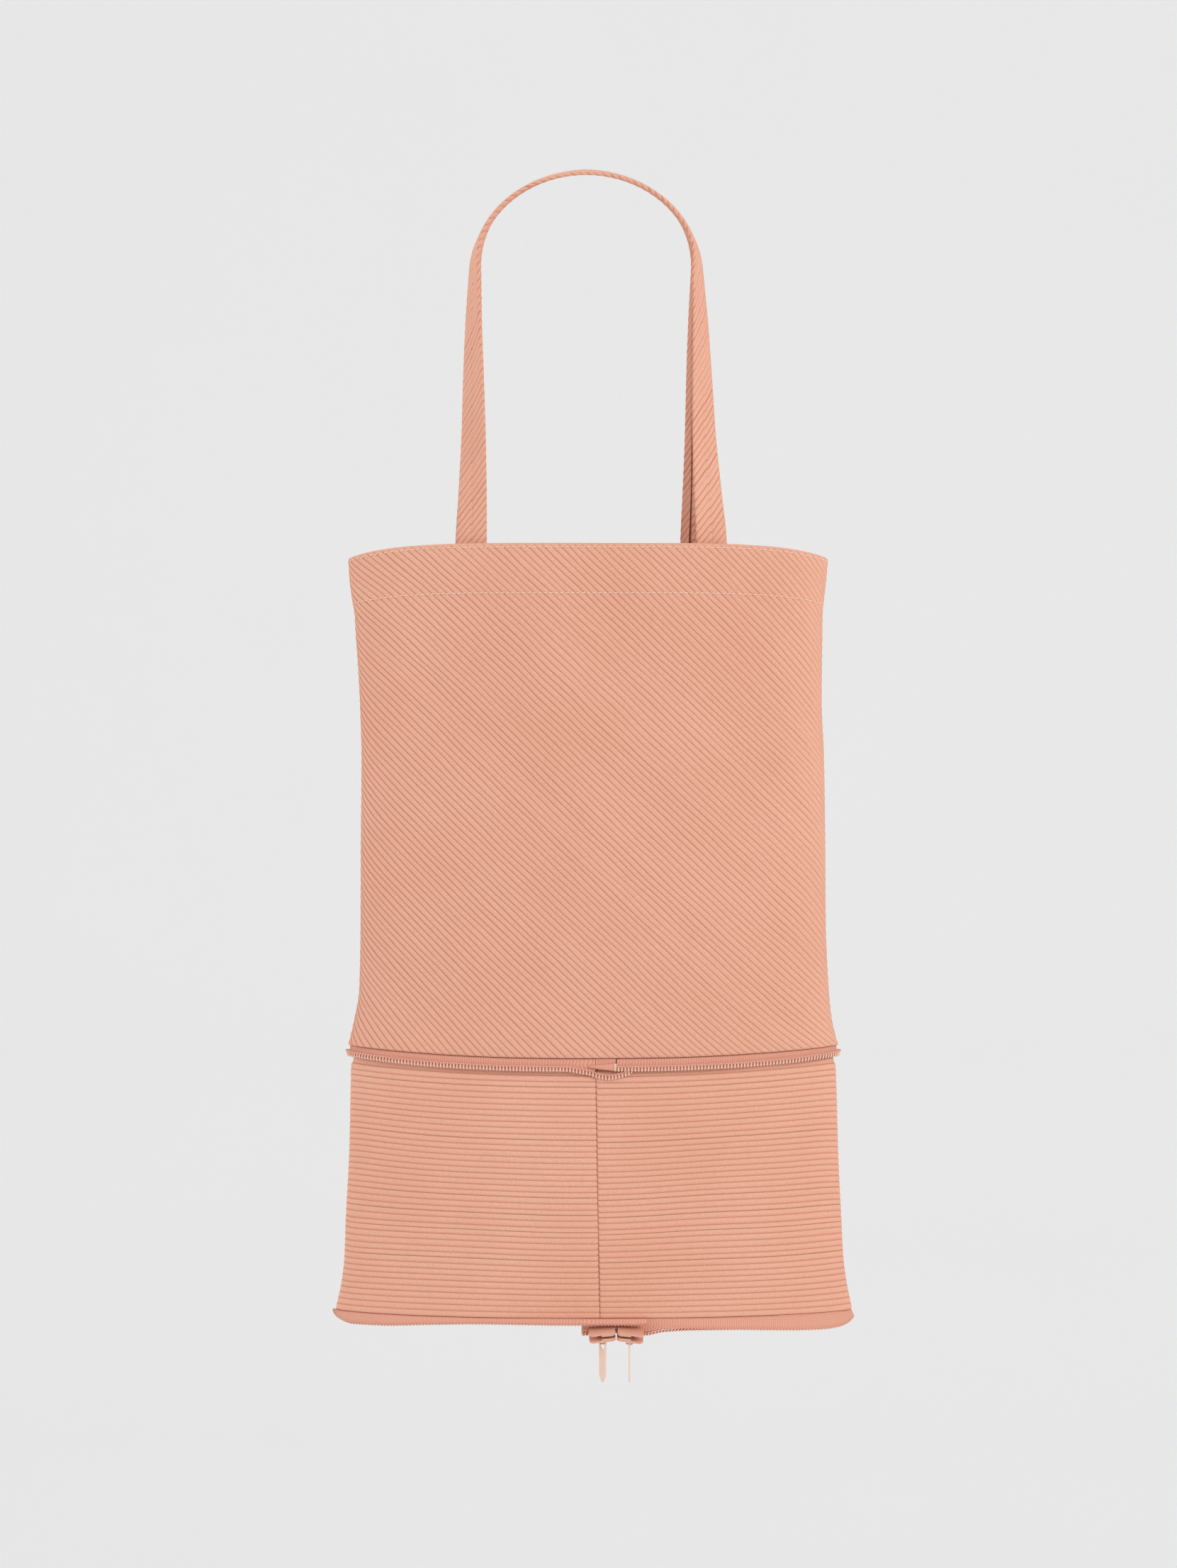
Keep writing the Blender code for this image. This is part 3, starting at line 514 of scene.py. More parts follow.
@dataclass(frozen=True)
class ClothFinish:
    """Matt pleated cloth with a fine grain, with painted shade in its creases."""

    name: str
    base: Colour
    crease_shade: Colour
    pale: Colour
    grain: float = 2600.0
    relief: float = 0.00012

    def material(self) -> bpy.types.Material:
        """Make the cloth's material.

        Returns:
            A material that reads the points' painted shade number.
        """
        graph = Graph(self.name)
        grain = graph.noise(self.grain, 3.0, graph.place())
        threads = graph.noise(1.0, 2.0, graph.place((900.0, 900.0, 2600.0)))
        clouds = graph.noise(14.0, 2.0, graph.place())
        streaks = graph.noise(1.0, 2.0, graph.place((230.0, 230.0, 46.0)))
        tone = graph.mix(clouds * 1.1 - 0.15, self.base, self.pale)
        # The dark colour also speckles the grain, which is the cloth's own tone.
        speckle = graph.mix(grain * 1.1 + threads * 0.7 - 0.72, tone, self.crease_shade)
        # Painted shade: the points' shade number lays the dark colour over the cloth in its creases and
        # hollows.
        shade = graph.attribute("crease_shade")
        graph.set(
            Base_Color=graph.mix(shade, speckle, self.crease_shade),
            Roughness=0.82 - grain * 0.12,
            Normal=graph.bump(grain * 0.6 + threads * 0.4 + streaks * 2.2, self.relief),
        )
        graph.set(Sheen_Weight=0.5, Sheen_Roughness=0.5, Sheen_Tint=self.pale, Specular_IOR_Level=0.3)
        return graph.material


@dataclass(frozen=True)
class TapeFinish:
    """Woven zip tape with a fine herringbone, on its own run and width coordinates in metres."""

    name: str
    base: Colour
    dark: Colour
    pitch: float = 0.0011

    def material(self) -> bpy.types.Material:
        """Make the tape's material.

        Returns:
            A material that reads the piece's UV map.
        """
        graph = Graph(self.name)
        uv = graph.place(kind="UV")
        run, wide = graph.axis(uv, "X"), graph.axis(uv, "Y")
        turn = 2.0 * math.pi / self.pitch
        zigzag = ((wide * (turn * 0.45)).sine() * 0.9 + run * turn).sine()
        weft = (wide * (turn * 2.2)).sine()
        grain = graph.noise(2200.0, 2.0, graph.place())
        weave = zigzag * 0.32 + weft * 0.14 + grain * 0.5 + 0.25
        graph.set(
            Base_Color=graph.mix(weave * 0.8, self.dark, self.base),
            Roughness=0.86 - weave * 0.1,
            Normal=graph.bump(weave, 0.00016),
        )
        graph.set(Sheen_Weight=0.2, Sheen_Roughness=0.5, Specular_IOR_Level=0.3)
        return graph.material


@dataclass(frozen=True)
class GlossFinish:
    """Nylon coil, twisted thread or enamel: one colour with slight variation and a soft gloss."""

    name: str
    base: Colour
    dark: Colour
    roughness: float
    coat: float
    relief: float
    grain: float

    def material(self) -> bpy.types.Material:
        """Make the glossy material.

        Returns:
            A material on Object coordinates.
        """
        graph = Graph(self.name)
        fine = graph.noise(self.grain, 3.0, graph.place())
        broad = graph.noise(160.0, 2.0, graph.place())
        graph.set(
            Base_Color=graph.mix(broad * 0.5 + fine * 0.35 - 0.1, self.base, self.dark),
            Roughness=self.roughness + fine * 0.12 - 0.06,
            Normal=graph.bump(fine, self.relief),
        )
        graph.set(Coat_Weight=self.coat, Coat_Roughness=0.2)
        return graph.material


# The second colour is painted shade for the creases and hollows, and also the grain's dark speckle.
CLOTH = ClothFinish(
    "pleated_cloth_dressed", (0.835, 0.433, 0.298), (0.58, 0.195, 0.13), (0.90, 0.53, 0.385)
).material()
TAPE = TapeFinish("zip_tape_dressed", (0.91, 0.51, 0.375), (0.68, 0.26, 0.18)).material()
COIL, SHADE_CORE, ZIP_THREAD, THREAD, ENAMEL, PALE_ENAMEL = (
    GlossFinish(*fields).material()
    for fields in (
        ("zip_coil_dressed", (0.94, 0.62, 0.48), (0.82, 0.42, 0.31), 0.32, 0.3, 0.00004, 1800.0),
        # Painted shade: the dark core wire stands in for the shade seen between the coil's loops.
        ("coil_core_shade_dressed", (0.52, 0.17, 0.115), (0.44, 0.14, 0.095), 0.8, 0.0, 0.0001, 3000.0),
        ("zip_thread_dressed", (0.86, 0.48, 0.36), (0.70, 0.31, 0.215), 0.6, 0.0, 0.0001, 3600.0),
        ("thread_dressed", (0.98, 0.72, 0.56), (0.80, 0.42, 0.30), 0.6, 0.0, 0.0001, 3600.0),
        ("slider_dressed", (0.78, 0.41, 0.29), (0.70, 0.33, 0.225), 0.34, 0.35, 0.00002, 700.0),
        ("pull_dressed", (0.90, 0.66, 0.53), (0.85, 0.58, 0.45), 0.3, 0.35, 0.00002, 700.0),
    )
)


def link(name: str, data: bpy.types.ID) -> bpy.types.Object:
    """Put data in the scene as an object."""
    thing = bpy.data.objects.new(name, data)
    bpy.context.scene.collection.objects.link(thing)
    return thing


def add_piece(
    name: str, mesh: bpy.types.Mesh, material: bpy.types.Material, body: str = "bag"
) -> bpy.types.Object:
    """Put a finished mesh in the scene and make it ride on a body.

    Args:
        name: The piece's name.
        mesh: Its mesh, in place.
        material: Its material.
        body: The body it rides on.

    Returns:
        The piece.
    """
    piece = link(name, mesh)
    mesh.materials.clear()
    mesh.materials.append(material)
    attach(piece, body)
    LOG.info("%s: %d faces", name, len(mesh.polygons))
    return piece


def finish_mesh(name: str, bm: bmesh.types.BMesh, sharp: float) -> bpy.types.Mesh:
    """Turn a bmesh into a smooth mesh whose faces point out.

    Args:
        name: The mesh's name.
        bm: The shape, which is used up.
        sharp: Angle in degrees above which an edge stays sharp.

    Returns:
        The mesh.
    """
    bmesh.ops.recalc_face_normals(bm, faces=bm.faces)
    mesh = bpy.data.meshes.new(name)
    bm.to_mesh(mesh)
    bm.free()
    mesh.shade_smooth()
    mesh.set_sharp_from_angle(angle=math.radians(sharp))
    return mesh


def sheet_mesh(
    columns: int,
    rows: int,
    place: Place,
    crease_shade: Place | None = None,
    run: float = 1.0,
    width: float = 1.0,
) -> bmesh.types.BMesh:
    """Bend a flat grid into a closed shape, whose edges that meet are joined and whose ends are filled.

    Args:
        columns: Faces along the grid.
        rows: Faces across it.
        place: Gives the points for column and row numbers.
        crease_shade: Gives each point's painted shade number, dark in creases and hollows.
        run: Length of the sheet's UV map along its columns, in metres.
        width: Length of the UV map along its rows, in metres.

    Returns:
        The bent grid.
    """
    bm = bmesh.new()
    bm.loops.layers.uv.new("UVMap")
    bmesh.ops.create_grid(bm, x_segments=columns, y_segments=rows, size=0.5, calc_uvs=True)
    flat = np.array([vert.co[:2] for vert in bm.verts])
    column = np.rint((flat[:, 0] + 0.5) * columns).astype(int)
    row = np.rint((flat[:, 1] + 0.5) * rows).astype(int)
    points = place(column, row)
    tints = crease_shade(column, row) if crease_shade else np.zeros(len(points))
    # Painted shade: each point carries how much of the dark cloth colour covers it.
    layer = bm.verts.layers.float.new("crease_shade")
    for vert, point, tint in zip(bm.verts, points, tints):
        vert.co = point
        vert[layer] = tint
    uv = bm.loops.layers.uv.active
    for face in bm.faces:
        for loop in face.loops:
            loop[uv].uv = (loop[uv].uv[0] * run, loop[uv].uv[1] * width)
    bm.verts.ensure_lookup_table()
    rim = (column == 0) | (column == columns) | (row == 0) | (row == rows)
    bmesh.ops.remove_doubles(bm, verts=[bm.verts[index] for index in np.flatnonzero(rim)], dist=1e-6)
    open_edges = [edge for edge in bm.edges if edge.is_boundary]
    if open_edges:
        bmesh.ops.holes_fill(bm, edges=open_edges, sides=0)
    return bm


def band_mesh(
    front: np.ndarray, back: np.ndarray, width: float, crease_shade: np.ndarray | None = None
) -> bmesh.types.BMesh:
    """Make a thin band from the points of its two faces.

    Args:
        front: Points of its front, an array of places along by places across by three.
        back: Points of its back, in the same order.
        width: Its width, for the UV map.
        crease_shade: Painted shade numbers of the front's points.

    Returns:
        The closed band.
    """
    ring = np.concatenate((front, back[:, ::-1]), axis=1)
    tints = np.zeros(ring.shape[:2])
    if crease_shade is not None:
        tints[:, : front.shape[1]] = crease_shade
    across = ring.shape[1]
    run = length_of(front[:, 0])

    def place(column: np.ndarray, row: np.ndarray) -> np.ndarray:
        """Points of the band for the grid's columns and rows."""
        return ring[column, row % across]

    def tint(column: np.ndarray, row: np.ndarray) -> np.ndarray:
        """Crease numbers for the grid's columns and rows."""
        return tints[column, row % across]

    return sheet_mesh(len(ring) - 1, across, place, tint, run, 2.0 * width)


def wire_mesh(name: str, runs: Sequence[np.ndarray], radius: float, sides: int) -> bpy.types.Mesh:
    """Make round wires or threads along runs of points.

    Args:
        name: The mesh's name.
        runs: One array of points for each wire.
        radius: The wires' radius.
        sides: Faces round a wire, four or more and even.

    Returns:
        One mesh of all the wires.
    """
    curve = bpy.data.curves.new(name, "CURVE")
    curve.dimensions = "3D"
    curve.bevel_depth = radius
    curve.bevel_resolution = (sides - 4) // 2
    curve.use_fill_caps = True
    for run in runs:
        spline = curve.splines.new("POLY")
        spline.points.add(len(run) - 1)
        spline.points.foreach_set("co", np.column_stack((run, np.ones(len(run)))).ravel())
    holder = link(name, curve)
    graph = bpy.context.evaluated_depsgraph_get()
    mesh = bpy.data.meshes.new_from_object(holder.evaluated_get(graph))
    bpy.data.objects.remove(holder)
    bpy.data.curves.remove(curve)
    bm = bmesh.new()
    bm.from_mesh(mesh)
    bpy.data.meshes.remove(mesh)
    return finish_mesh(name, bm, CREASED)


def stitch_runs(starts: np.ndarray, ends: np.ndarray, lift: np.ndarray) -> list[np.ndarray]:
    """Runs of points for short stitches that rise in their middle.

    Args:
        starts: Where each stitch comes out.
        ends: Where it goes in.
        lift: How far and which way its middle stands off.

    Returns:
        One run of four points for each stitch.
    """
    low, high = starts + (ends - starts) * 0.22 + lift, starts + (ends - starts) * 0.78 + lift
    return [np.array(run) for run in zip(starts, low, high, ends)]


class Route:
    """A way through space with two directions across it, measured by its length."""

    def __init__(self, centre: np.ndarray, high: np.ndarray, out: np.ndarray) -> None:
        """Measure the way.

        Args:
            centre: Points along the way.
            high: Direction across the way at each point.
            out: The other direction across the way.
        """
        self.columns = np.concatenate((centre, unit(high), unit(out)), axis=1)
        self.stations = stations(centre)
        self.length = float(self.stations[-1])

    def at(self, length: np.ndarray, high: np.ndarray | float, out: np.ndarray | float) -> np.ndarray:
        """Points at some lengths along the way, moved across it.

        Args:
            length: Lengths along the way.
            high: How far each point is moved along the first direction.
            out: How far it is moved along the second one.

        Returns:
            The points.
        """
        read = np.stack([np.interp(length, self.stations, column) for column in self.columns.T], axis=-1)
        high, out = np.broadcast_to(high, length.shape), np.broadcast_to(out, length.shape)
        return read[..., 0:3] + read[..., 3:6] * high[..., None] + read[..., 6:9] * out[..., None]

    def outward(self, length: np.ndarray) -> np.ndarray:
        """The second direction at some lengths along the way."""
        return unit(self.at(length, 0.0, 1.0) - self.at(length, 0.0, 0.0))


def level_out(along: np.ndarray) -> np.ndarray:
    """Level directions to the right of others, out of the bag where they go round it against the clock."""
    return unit(np.stack((along[:, 1], -along[:, 0], np.zeros(len(along))), axis=-1))


def outward_of(centre: np.ndarray) -> np.ndarray:
    """Level directions out of the bag at points that go round it against the clock."""
    return level_out(np.gradient(centre, axis=0))


@dataclass
class UpperBody:
    """The pleated tube with its turned hem and its two rows of stitches."""

    ribs: int = 127
    slope: float = 44.0
    hem: float = 30.0 * MM
    cloth: float = 1.4 * MM
    hem_wall: float = 2.2 * MM
    row_step: float = 5.6 * MM
    stitch_pitch: float = 3.25 * MM
    stitch_length: float = 2.3 * MM
    edge_row: float = 2.4 * MM
    hem_proud: float = 0.35 * MM
    broad_wander: float = 0.24
    fine_wander: float = 0.085
    pucker_lean: float = 0.15
    back_mirror: float = -0.93

    def ways(self) -> tuple[np.ndarray, np.ndarray, np.ndarray]:
        """Rows of the wall, over its rim and down, and back up inside.

        Returns:
            For each row its depth below the mouth, its inset and how much of the pleats it carries.
        """
        height, hem = FORM.upper_height, self.hem
        proud = -self.hem_proud
        rim = [(0.9 * MM, proud, 0.6), (1.9 * MM, proud, 0.9), (2.4 * MM, 0.0, 0.6), (2.9 * MM, proud, 1.0)]
        rim += [(down * MM, proud, 1.0) for down in (5.0, 9.5, 14.0, 18.5, 23.0, 26.5, 28.6)]
        rim += [(hem - 0.5 * MM, proud, 1.0), (hem, 0.05 * MM, 0.7), (hem + 0.6 * MM, -0.1 * MM, 1.0)]
        rim += [(hem + 2.2 * MM, 0.0, 1.0)]
        count = round((height - hem - 5.0 * MM) / self.row_step)
        rest = np.linspace(hem + 5.0 * MM, height - 1.2 * MM, count)
        outside = rim + [(down, 0.0, 1.0) for down in rest] + [(height, 0.25 * MM, 0.5)]
        inner = np.linspace(height, hem + 3.0 * MM, 20)
        inside = [(down, self.cloth, 0.4) for down in inner] + [(hem + 0.8 * MM, self.cloth, 0.3)]
        wall = self.hem_wall
        inside += [(hem, wall, 0.3), (15.0 * MM, wall, 0.4), (2.0 * MM, wall, 0.4)]
        inside += [(0.5 * MM, wall - 0.2 * MM, 0.2), (-0.15 * MM, wall * 0.7, 0.0)]
        inside += [(-0.2 * MM, wall * 0.35, 0.0), outside[0]]
        table = np.array(outside + inside)
        return table[:, 0], table[:, 1], table[:, 2]

    def build(self) -> None:
        """Bend, pleat and sew the upper body."""
        downs, insets, amounts = self.ways()
        profile = np.array(DIAGONAL_RIB)
        count = len(profile)
        columns, rows = self.ribs * count, len(downs) - 1
        draw = np.random.default_rng(11)
        jitter = draw.normal(0.0, 0.035, self.ribs + 1)
        strength = draw.uniform(0.75, 1.2, self.ribs + 1)
        jitter[-1], strength[-1] = jitter[0], strength[0]
        girth = length_of(FORM.upper(ROUND, 0.5, 0.0))
        shift = downs / (girth * math.tan(math.radians(self.slope)))

        def phases(column: np.ndarray, row: np.ndarray) -> np.ndarray:
            """Share of the way round at which each point of the grid lies."""
            rib, part = column // count, profile[column % count, 0]
            turn = 2.0 * math.pi * column / columns
            down = downs[row]
            wander = self.broad_wander * ripple(3, 3.5 * np.sin(turn), 3.5 * np.cos(turn), down * 46.0)
            wander += self.fine_wander * ripple(4, 26.0 * np.sin(turn), 26.0 * np.cos(turn), down * 150.0)
            start = rib + jitter[rib]
            pitch = 1.0 + jitter[np.minimum(rib + 1, self.ribs)] - jitter[rib]
            return (start + part * pitch + wander) / self.ribs + shift[row]

        def place(column: np.ndarray, row: np.ndarray) -> np.ndarray:
            """Points of the wall for the grid's columns and rows."""
            share = phases(column, row)
            angle = np.empty_like(share)
            for number in range(rows + 1):
                here = row == number
                down = min(max(downs[number] / FORM.upper_height, 0.0), 1.0)
                angle[here] = FORM.angles_by_length(UPPER_SECTIONS, down, share[here])
            down = downs[row] / FORM.upper_height
            rib = column // count
            relief = profile[column % count, 1] * amounts[row] * strength[np.minimum(rib, self.ribs)]
            point = FORM.upper(angle, down, insets[row] - relief)
            return point + self.gathers(point, insets[row])

        def crease_shade(column: np.ndarray, row: np.ndarray) -> np.ndarray:
            """How much painted shade each point carries, most in the pleats' creases."""
            return profile[column % count, 2] * np.minimum(amounts[row] * 1.2, 1.0)

        bm = sheet_mesh(columns, rows, place, crease_shade)
        piece = add_piece("cloth_body", finish_mesh("cloth_body", bm, SMOOTH), CLOTH)
        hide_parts("upper_body")
        self.sew()

    def gathers(self, point: np.ndarray, inset: np.ndarray) -> np.ndarray:
        """Small puckers at and under the hem's stitches, on the front wall and mirrored on the back one."""
        move = np.zeros_like(point)
        wall = np.sign(point[:, 1])
        walls = [(-1.0, 1.0, pucker) for pucker in PUCKERS]
        walls += [(1.0, self.back_mirror, pucker) for pucker in PUCKERS]
        for side, mirror, pucker in walls:
            above = point[:, 2] - pucker.z * MM
            lean = above * self.pucker_lean
            across = (point[:, 0] - pucker.x * mirror * MM - lean) / (pucker.wide * MM)
            along = above / (pucker.high * MM)
            bulge = np.exp(-(across**2) - along**2) * pucker.deep * MM
            move[:, 1] += np.where((wall == side) & (inset < self.cloth * 0.5), bulge * side, 0.0)
        return move

    def sew(self) -> None:
        """Sew the rows of stitches under the rim and at the hem's edge."""
        runs: list[np.ndarray] = []
        for down in (self.edge_row, self.hem):
            share = down / FORM.upper_height
            count = round(length_of(FORM.upper(ROUND, share, 0.0)) / self.stitch_pitch)
            middle = np.arange(count) / count
            half = self.stitch_length / self.stitch_pitch * 0.5 / count
            ends = []
            for offset in (-half, half):
                angle = FORM.angles_by_length(UPPER_SECTIONS, share, middle + offset)
                ends.append(FORM.upper(angle, share, 0.1 * MM))
            ends[1][:, 2] += 0.34 * MM
            lift = level_out(ends[1] - ends[0]) * 0.5 * MM
            runs += stitch_runs(ends[0], ends[1], lift)
        piece = add_piece("hem_stitches", wire_mesh("hem_stitches", runs, 0.33 * MM, 6), THREAD)


@dataclass
class Extension:
    """The let-down tube with level pleats and a seam down the middle of its front."""

    pleats: int = 45
    columns: int = 260
    cloth: float = 1.4 * MM
    seam_x: float = 5.4 * MM
    seam_lean: float = 1.6 * MM
    seam_half: float = 1.0 * MM
    seam_dips: Triple = (0.5 * MM, 0.3 * MM, 0.1 * MM)
    lean_reach: float = 30.0
    wave_amount: float = 0.0055
    sag_amount: float = 0.007
    sag_reach: float = 17.0
    swell_depth: float = 0.9 * MM

    def build(self) -> None:
        """Bend and pleat the extension."""
        profile = np.array(LEVEL_RIB)
        count = len(profile)
        # Each row carries its painted shade: the pleats' creases, then the bottom row under the lower zip.
        outside = [
            ((pleat + part) / self.pleats, 0.2 * MM - relief, dark, 1.0)
            for pleat in range(self.pleats)
            for part, relief, dark in profile
        ]
        outside += [(1.0, 0.5 * MM, 0.6, 1.0)]
        inside = [(share, 0.8 * MM + self.cloth, 0.0, 0.0) for share in np.linspace(1.0, 0.0, 24)]
        table = np.array(outside + inside + outside[:1])
        rows = len(table) - 1
        draw = np.random.default_rng(23)
        jitter = draw.normal(0.0, 0.0012, self.pleats + 1)
        jitter[0] = jitter[-1] = 0.0
        pleat = np.minimum((table[:, 0] * self.pleats + 1e-6).astype(int), self.pleats)
        seam = np.degrees(self.seam_half / FORM.half_width)
        start = FORM.angle_at(EXTENSION_SECTIONS, self.seam_x, 0.5)
        even = np.linspace(start + seam, start + 360.0 - seam, self.columns - 5)
        stops = start + seam * np.array([0.0, 0.35, 0.7])
        angles = np.concatenate((stops, even, start + 360.0 - seam * np.array([0.7, 0.35, 0.0])))

        def place(column: np.ndarray, row: np.ndarray) -> np.ndarray:
            """Points of the wall for the grid's columns and rows."""
            angle = angles[column]
            front = bell(turned(angle - start), self.lean_reach)
            down = table[row, 0]
            angle = angle + front * np.degrees(self.seam_lean * (down - 0.5) / FORM.half_width)
            turn = np.radians(angle - start)
            outer = table[row, 3]
            body = np.sin(np.pi * np.clip(down, 0.0, 1.0)) ** 0.7
            wave = ripple(7, 2.6 * np.sin(turn), 2.6 * np.cos(turn), 2.0 * np.sin(turn * 2.0), down * 5.0)
            near = np.minimum(column, len(angles) - 1 - column)
            side = np.where(column * 2 < len(angles), 1.0, -1.0)
            step = 0.5 / self.pleats * np.exp(-near / 26.0) * np.where(near == 0, 0.0, side) * 0.5
            middle = bell((angle - start) % 360.0 - 360.0 * (side < 0.0), self.sag_reach)
            shift = self.wave_amount * wave + jitter[pleat[row]] + step + self.sag_amount * middle
            moved = down + outer * body * shift
            dip = np.array(self.seam_dips)
            seam_dip = np.where(near < 3, dip[np.minimum(near, 2)], 0.0) * outer
            bulge = ripple(8, 2.2 * np.sin(turn), 2.2 * np.cos(turn), down * 4.0)
            swell = outer * body * self.swell_depth * bulge
            inset = table[row, 1] + seam_dip - swell
            return FORM.extension(angle, moved, inset)

        def crease_shade(column: np.ndarray, row: np.ndarray) -> np.ndarray:
            """How much painted shade each point carries: in the pleats' creases, along the seam's dip, and
            in the top rows behind the zip tape, most under the tab.
            """
            near = np.minimum(column, len(angles) - 1 - column)
            under_tab = bell(turned(angles[column] - start) - 3.0, 5.0)
            # Painted shade in the top rows, which lie in shadow behind the zip tape, deepest under the tab.
            tape_shade = np.clip(1.3 - table[row, 0] / 0.05, 0.0, 1.0) * (0.4 + 0.6 * under_tab) * table[row, 3]
            # Painted shade along the seam's dip at the front.
            return np.clip(np.maximum(table[row, 2], np.where(near == 0, 0.6, 0.0)) + tape_shade, 0.0, 1.0)

        bm = sheet_mesh(len(angles) - 1, rows, place, crease_shade)
        piece = add_piece("cloth_extension", finish_mesh("cloth_extension", bm, SMOOTH), CLOTH)
        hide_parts("extension")
        girth = length_of(FORM.extension(ROUND, 0.5, 0.0))


@dataclass
class BottomPanel:
    """The plain floor inside the lower tape, flat in its middle."""

    columns: int = 132
    wall: float = 1.4 * MM
    inset: float = 2.2 * MM
    flat: float = 0.62
    sag: float = 0.5 * MM

    def build(self) -> None:
        """Lay the floor."""
        angle = np.linspace(0.0, 360.0, self.columns + 1)
        rim = FORM.extension(angle, 1.0, self.inset) - UP * FORM.gap
        low = float(rim[:, 2].min())
        tops = [0.0, 0.3, 0.55, self.flat, 0.72, 0.86, 0.97, 1.0]

        def level(share: float, thickness: float) -> np.ndarray:
            """A ring of the floor at a share of the way out to its rim."""
            ring = rim * share
            rise = max(share - self.flat, 0.0) / (1.0 - self.flat)
            ring[:, 2] = low + (rim[:, 2] - low) * rise - thickness
            return ring

        top = np.stack([level(share, 0.0) for share in tops], axis=1)
        underside = np.stack([level(share, self.wall) for share in tops], axis=1)
        mesh = finish_mesh("floor_cloth", band_mesh(top, underside, FORM.half_depth), CREASED)
        piece = add_piece("floor_cloth", mesh, CLOTH)
        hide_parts("bottom_panel")
        area = 0.5 * abs(np.sum(rim[:-1, 0] * rim[1:, 1] - rim[1:, 0] * rim[:-1, 1]))


@dataclass
class Handle:
    """A strap of folded pleated cloth, sewn down its middle and sewn inside the hem at both ends."""

    wall: Wall
    left_reach: float
    right_reach: float
    arch_lift: float = 0.0
    width: float = 19.5 * MM
    thickness: float = 1.9 * MM
    cloth: float = 0.5 * MM
    free_play: float = 0.4 * MM
    hem_wall: float = 2.2 * MM
    half_span: float = 67.5 * MM
    rise: float = 59.0 * MM
    shift: float = -1.5 * MM
    rib_pitch: float = 4.9 * MM
    slope: float = 50.0
    groove: float = 0.42 * MM
    stitch_pitch: float = 3.0 * MM
    stitch_length: float = 1.9 * MM
    overrun: float = 34.0 * MM
    front_lip: float = -3.4 * MM
    back_lip: float = -2.5 * MM
    pleat_step: float = 0.11
    wave_amount: float = 0.18
    opening_start: float = 22.0 * MM
    opening_reach: float = 55.0 * MM
    opening_width: float = 1.1 * MM

    def spread(self, turn: np.ndarray) -> np.ndarray:
        """How far the turned strap reaches to the front and back of its middle."""
        radians = np.radians(turn)
        return self.width * 0.5 * np.sin(radians) + self.thickness * 0.5 * np.abs(np.cos(radians))

    def leg(self, down: np.ndarray, reach: float, side: float) -> tuple[np.ndarray, np.ndarray]:
        """Middle line of a leg and its turn.

        Args:
            down: Shares down the leg from the arch's spring.
            reach: How far from the bag's middle the leg meets the mouth.
            side: -1 for the left leg, 1 for the right one.

        Returns:
            Points and turns in degrees.
        """
        height = FORM.handle_drop - self.rise
        turn, out, apart = (
            read_rows(LEG_ROWS, column, "down", down) for column in ("turn", "reach", "apart")
        )
        below = np.maximum(down - 1.0, 0.0) * height / FORM.upper_height
        depth = read_rows(UPPER_SECTIONS, "depth", "down", below)
        power = FORM.squareness
        wall = FORM.half_depth * depth * (1.0 - (abs(reach) / FORM.half_width) ** power) ** (1.0 / power)
        far = wall - self.hem_wall - FORM.gap - self.free_play - self.spread(turn)
        near = self.spread(turn) + FORM.gap * 0.5
        eased = np.clip(down, 0.0, 1.0) ** 2 * (3.0 - 2.0 * np.clip(down, 0.0, 1.0))
        x = side * (self.half_span + (reach - self.half_span) * out) + self.shift * (1.0 - eased)
        y = self.wall.value * (near + (far - near) * apart)
        return np.stack((x, y, -self.rise - height * down), axis=-1), turn

    def arch(self, share: np.ndarray) -> tuple[np.ndarray, np.ndarray]:
        """Middle line of the arch and its turn, at shares of the way from its left spring."""
        column = self.wall.name.lower()
        turn = read_rows(ARCH_ROWS, column, "share", 1.0 - np.abs(1.0 - 2.0 * share))
        top = math.radians(getattr(ARCH_ROWS[-1], column))
        half = self.thickness * 0.5 * math.sin(top)
        past = half if top > math.pi * 0.5 else -half
        ridge = self.width * 0.5 * abs(math.cos(top)) + past - self.arch_lift
        x = self.shift - self.half_span * np.cos(math.pi * share)
        z = -self.rise + (self.rise - ridge) * np.sin(math.pi * share)
        return np.stack((x, self.wall.value * (self.spread(turn) + FORM.gap * 0.5), z), axis=-1), turn

    def route(self) -> Route:
        """The strap's whole way with its width and its face's direction, run on past both ends."""
        end = LEG_ROWS[-1].down
        left, left_turn = self.leg(np.linspace(end, 0.0, 70), self.left_reach, -1.0)
        arch, arch_turn = self.arch(np.linspace(0.0, 1.0, 120)[1:-1])
        right, right_turn = self.leg(np.linspace(0.0, end, 70), self.right_reach, 1.0)
        centre = np.concatenate((left, arch, right))
        turn = np.concatenate((left_turn, arch_turn, right_turn))
        first, last = unit(centre[0] - centre[1]), unit(centre[-1] - centre[-2])
        before, after = centre[0] + first * self.overrun, centre[-1] + last * self.overrun
        centre = np.concatenate(([before], centre, [after]))
        turn = np.radians(np.concatenate((turn[:1], turn, turn[-1:])))[:, None]
        along = unit(np.gradient(centre, axis=0))
        outward = unit(np.cross(along, [0.0, 1.0, 0.0]))
        forward = np.array([0.0, self.wall.value, 0.0]) - along * (along[:, 1:2] * self.wall.value)
        forward = unit(forward)
        face = outward * np.sin(turn) + forward * np.cos(turn)
        width = outward * np.cos(turn) - forward * np.sin(turn)
        return Route(centre, width, face)

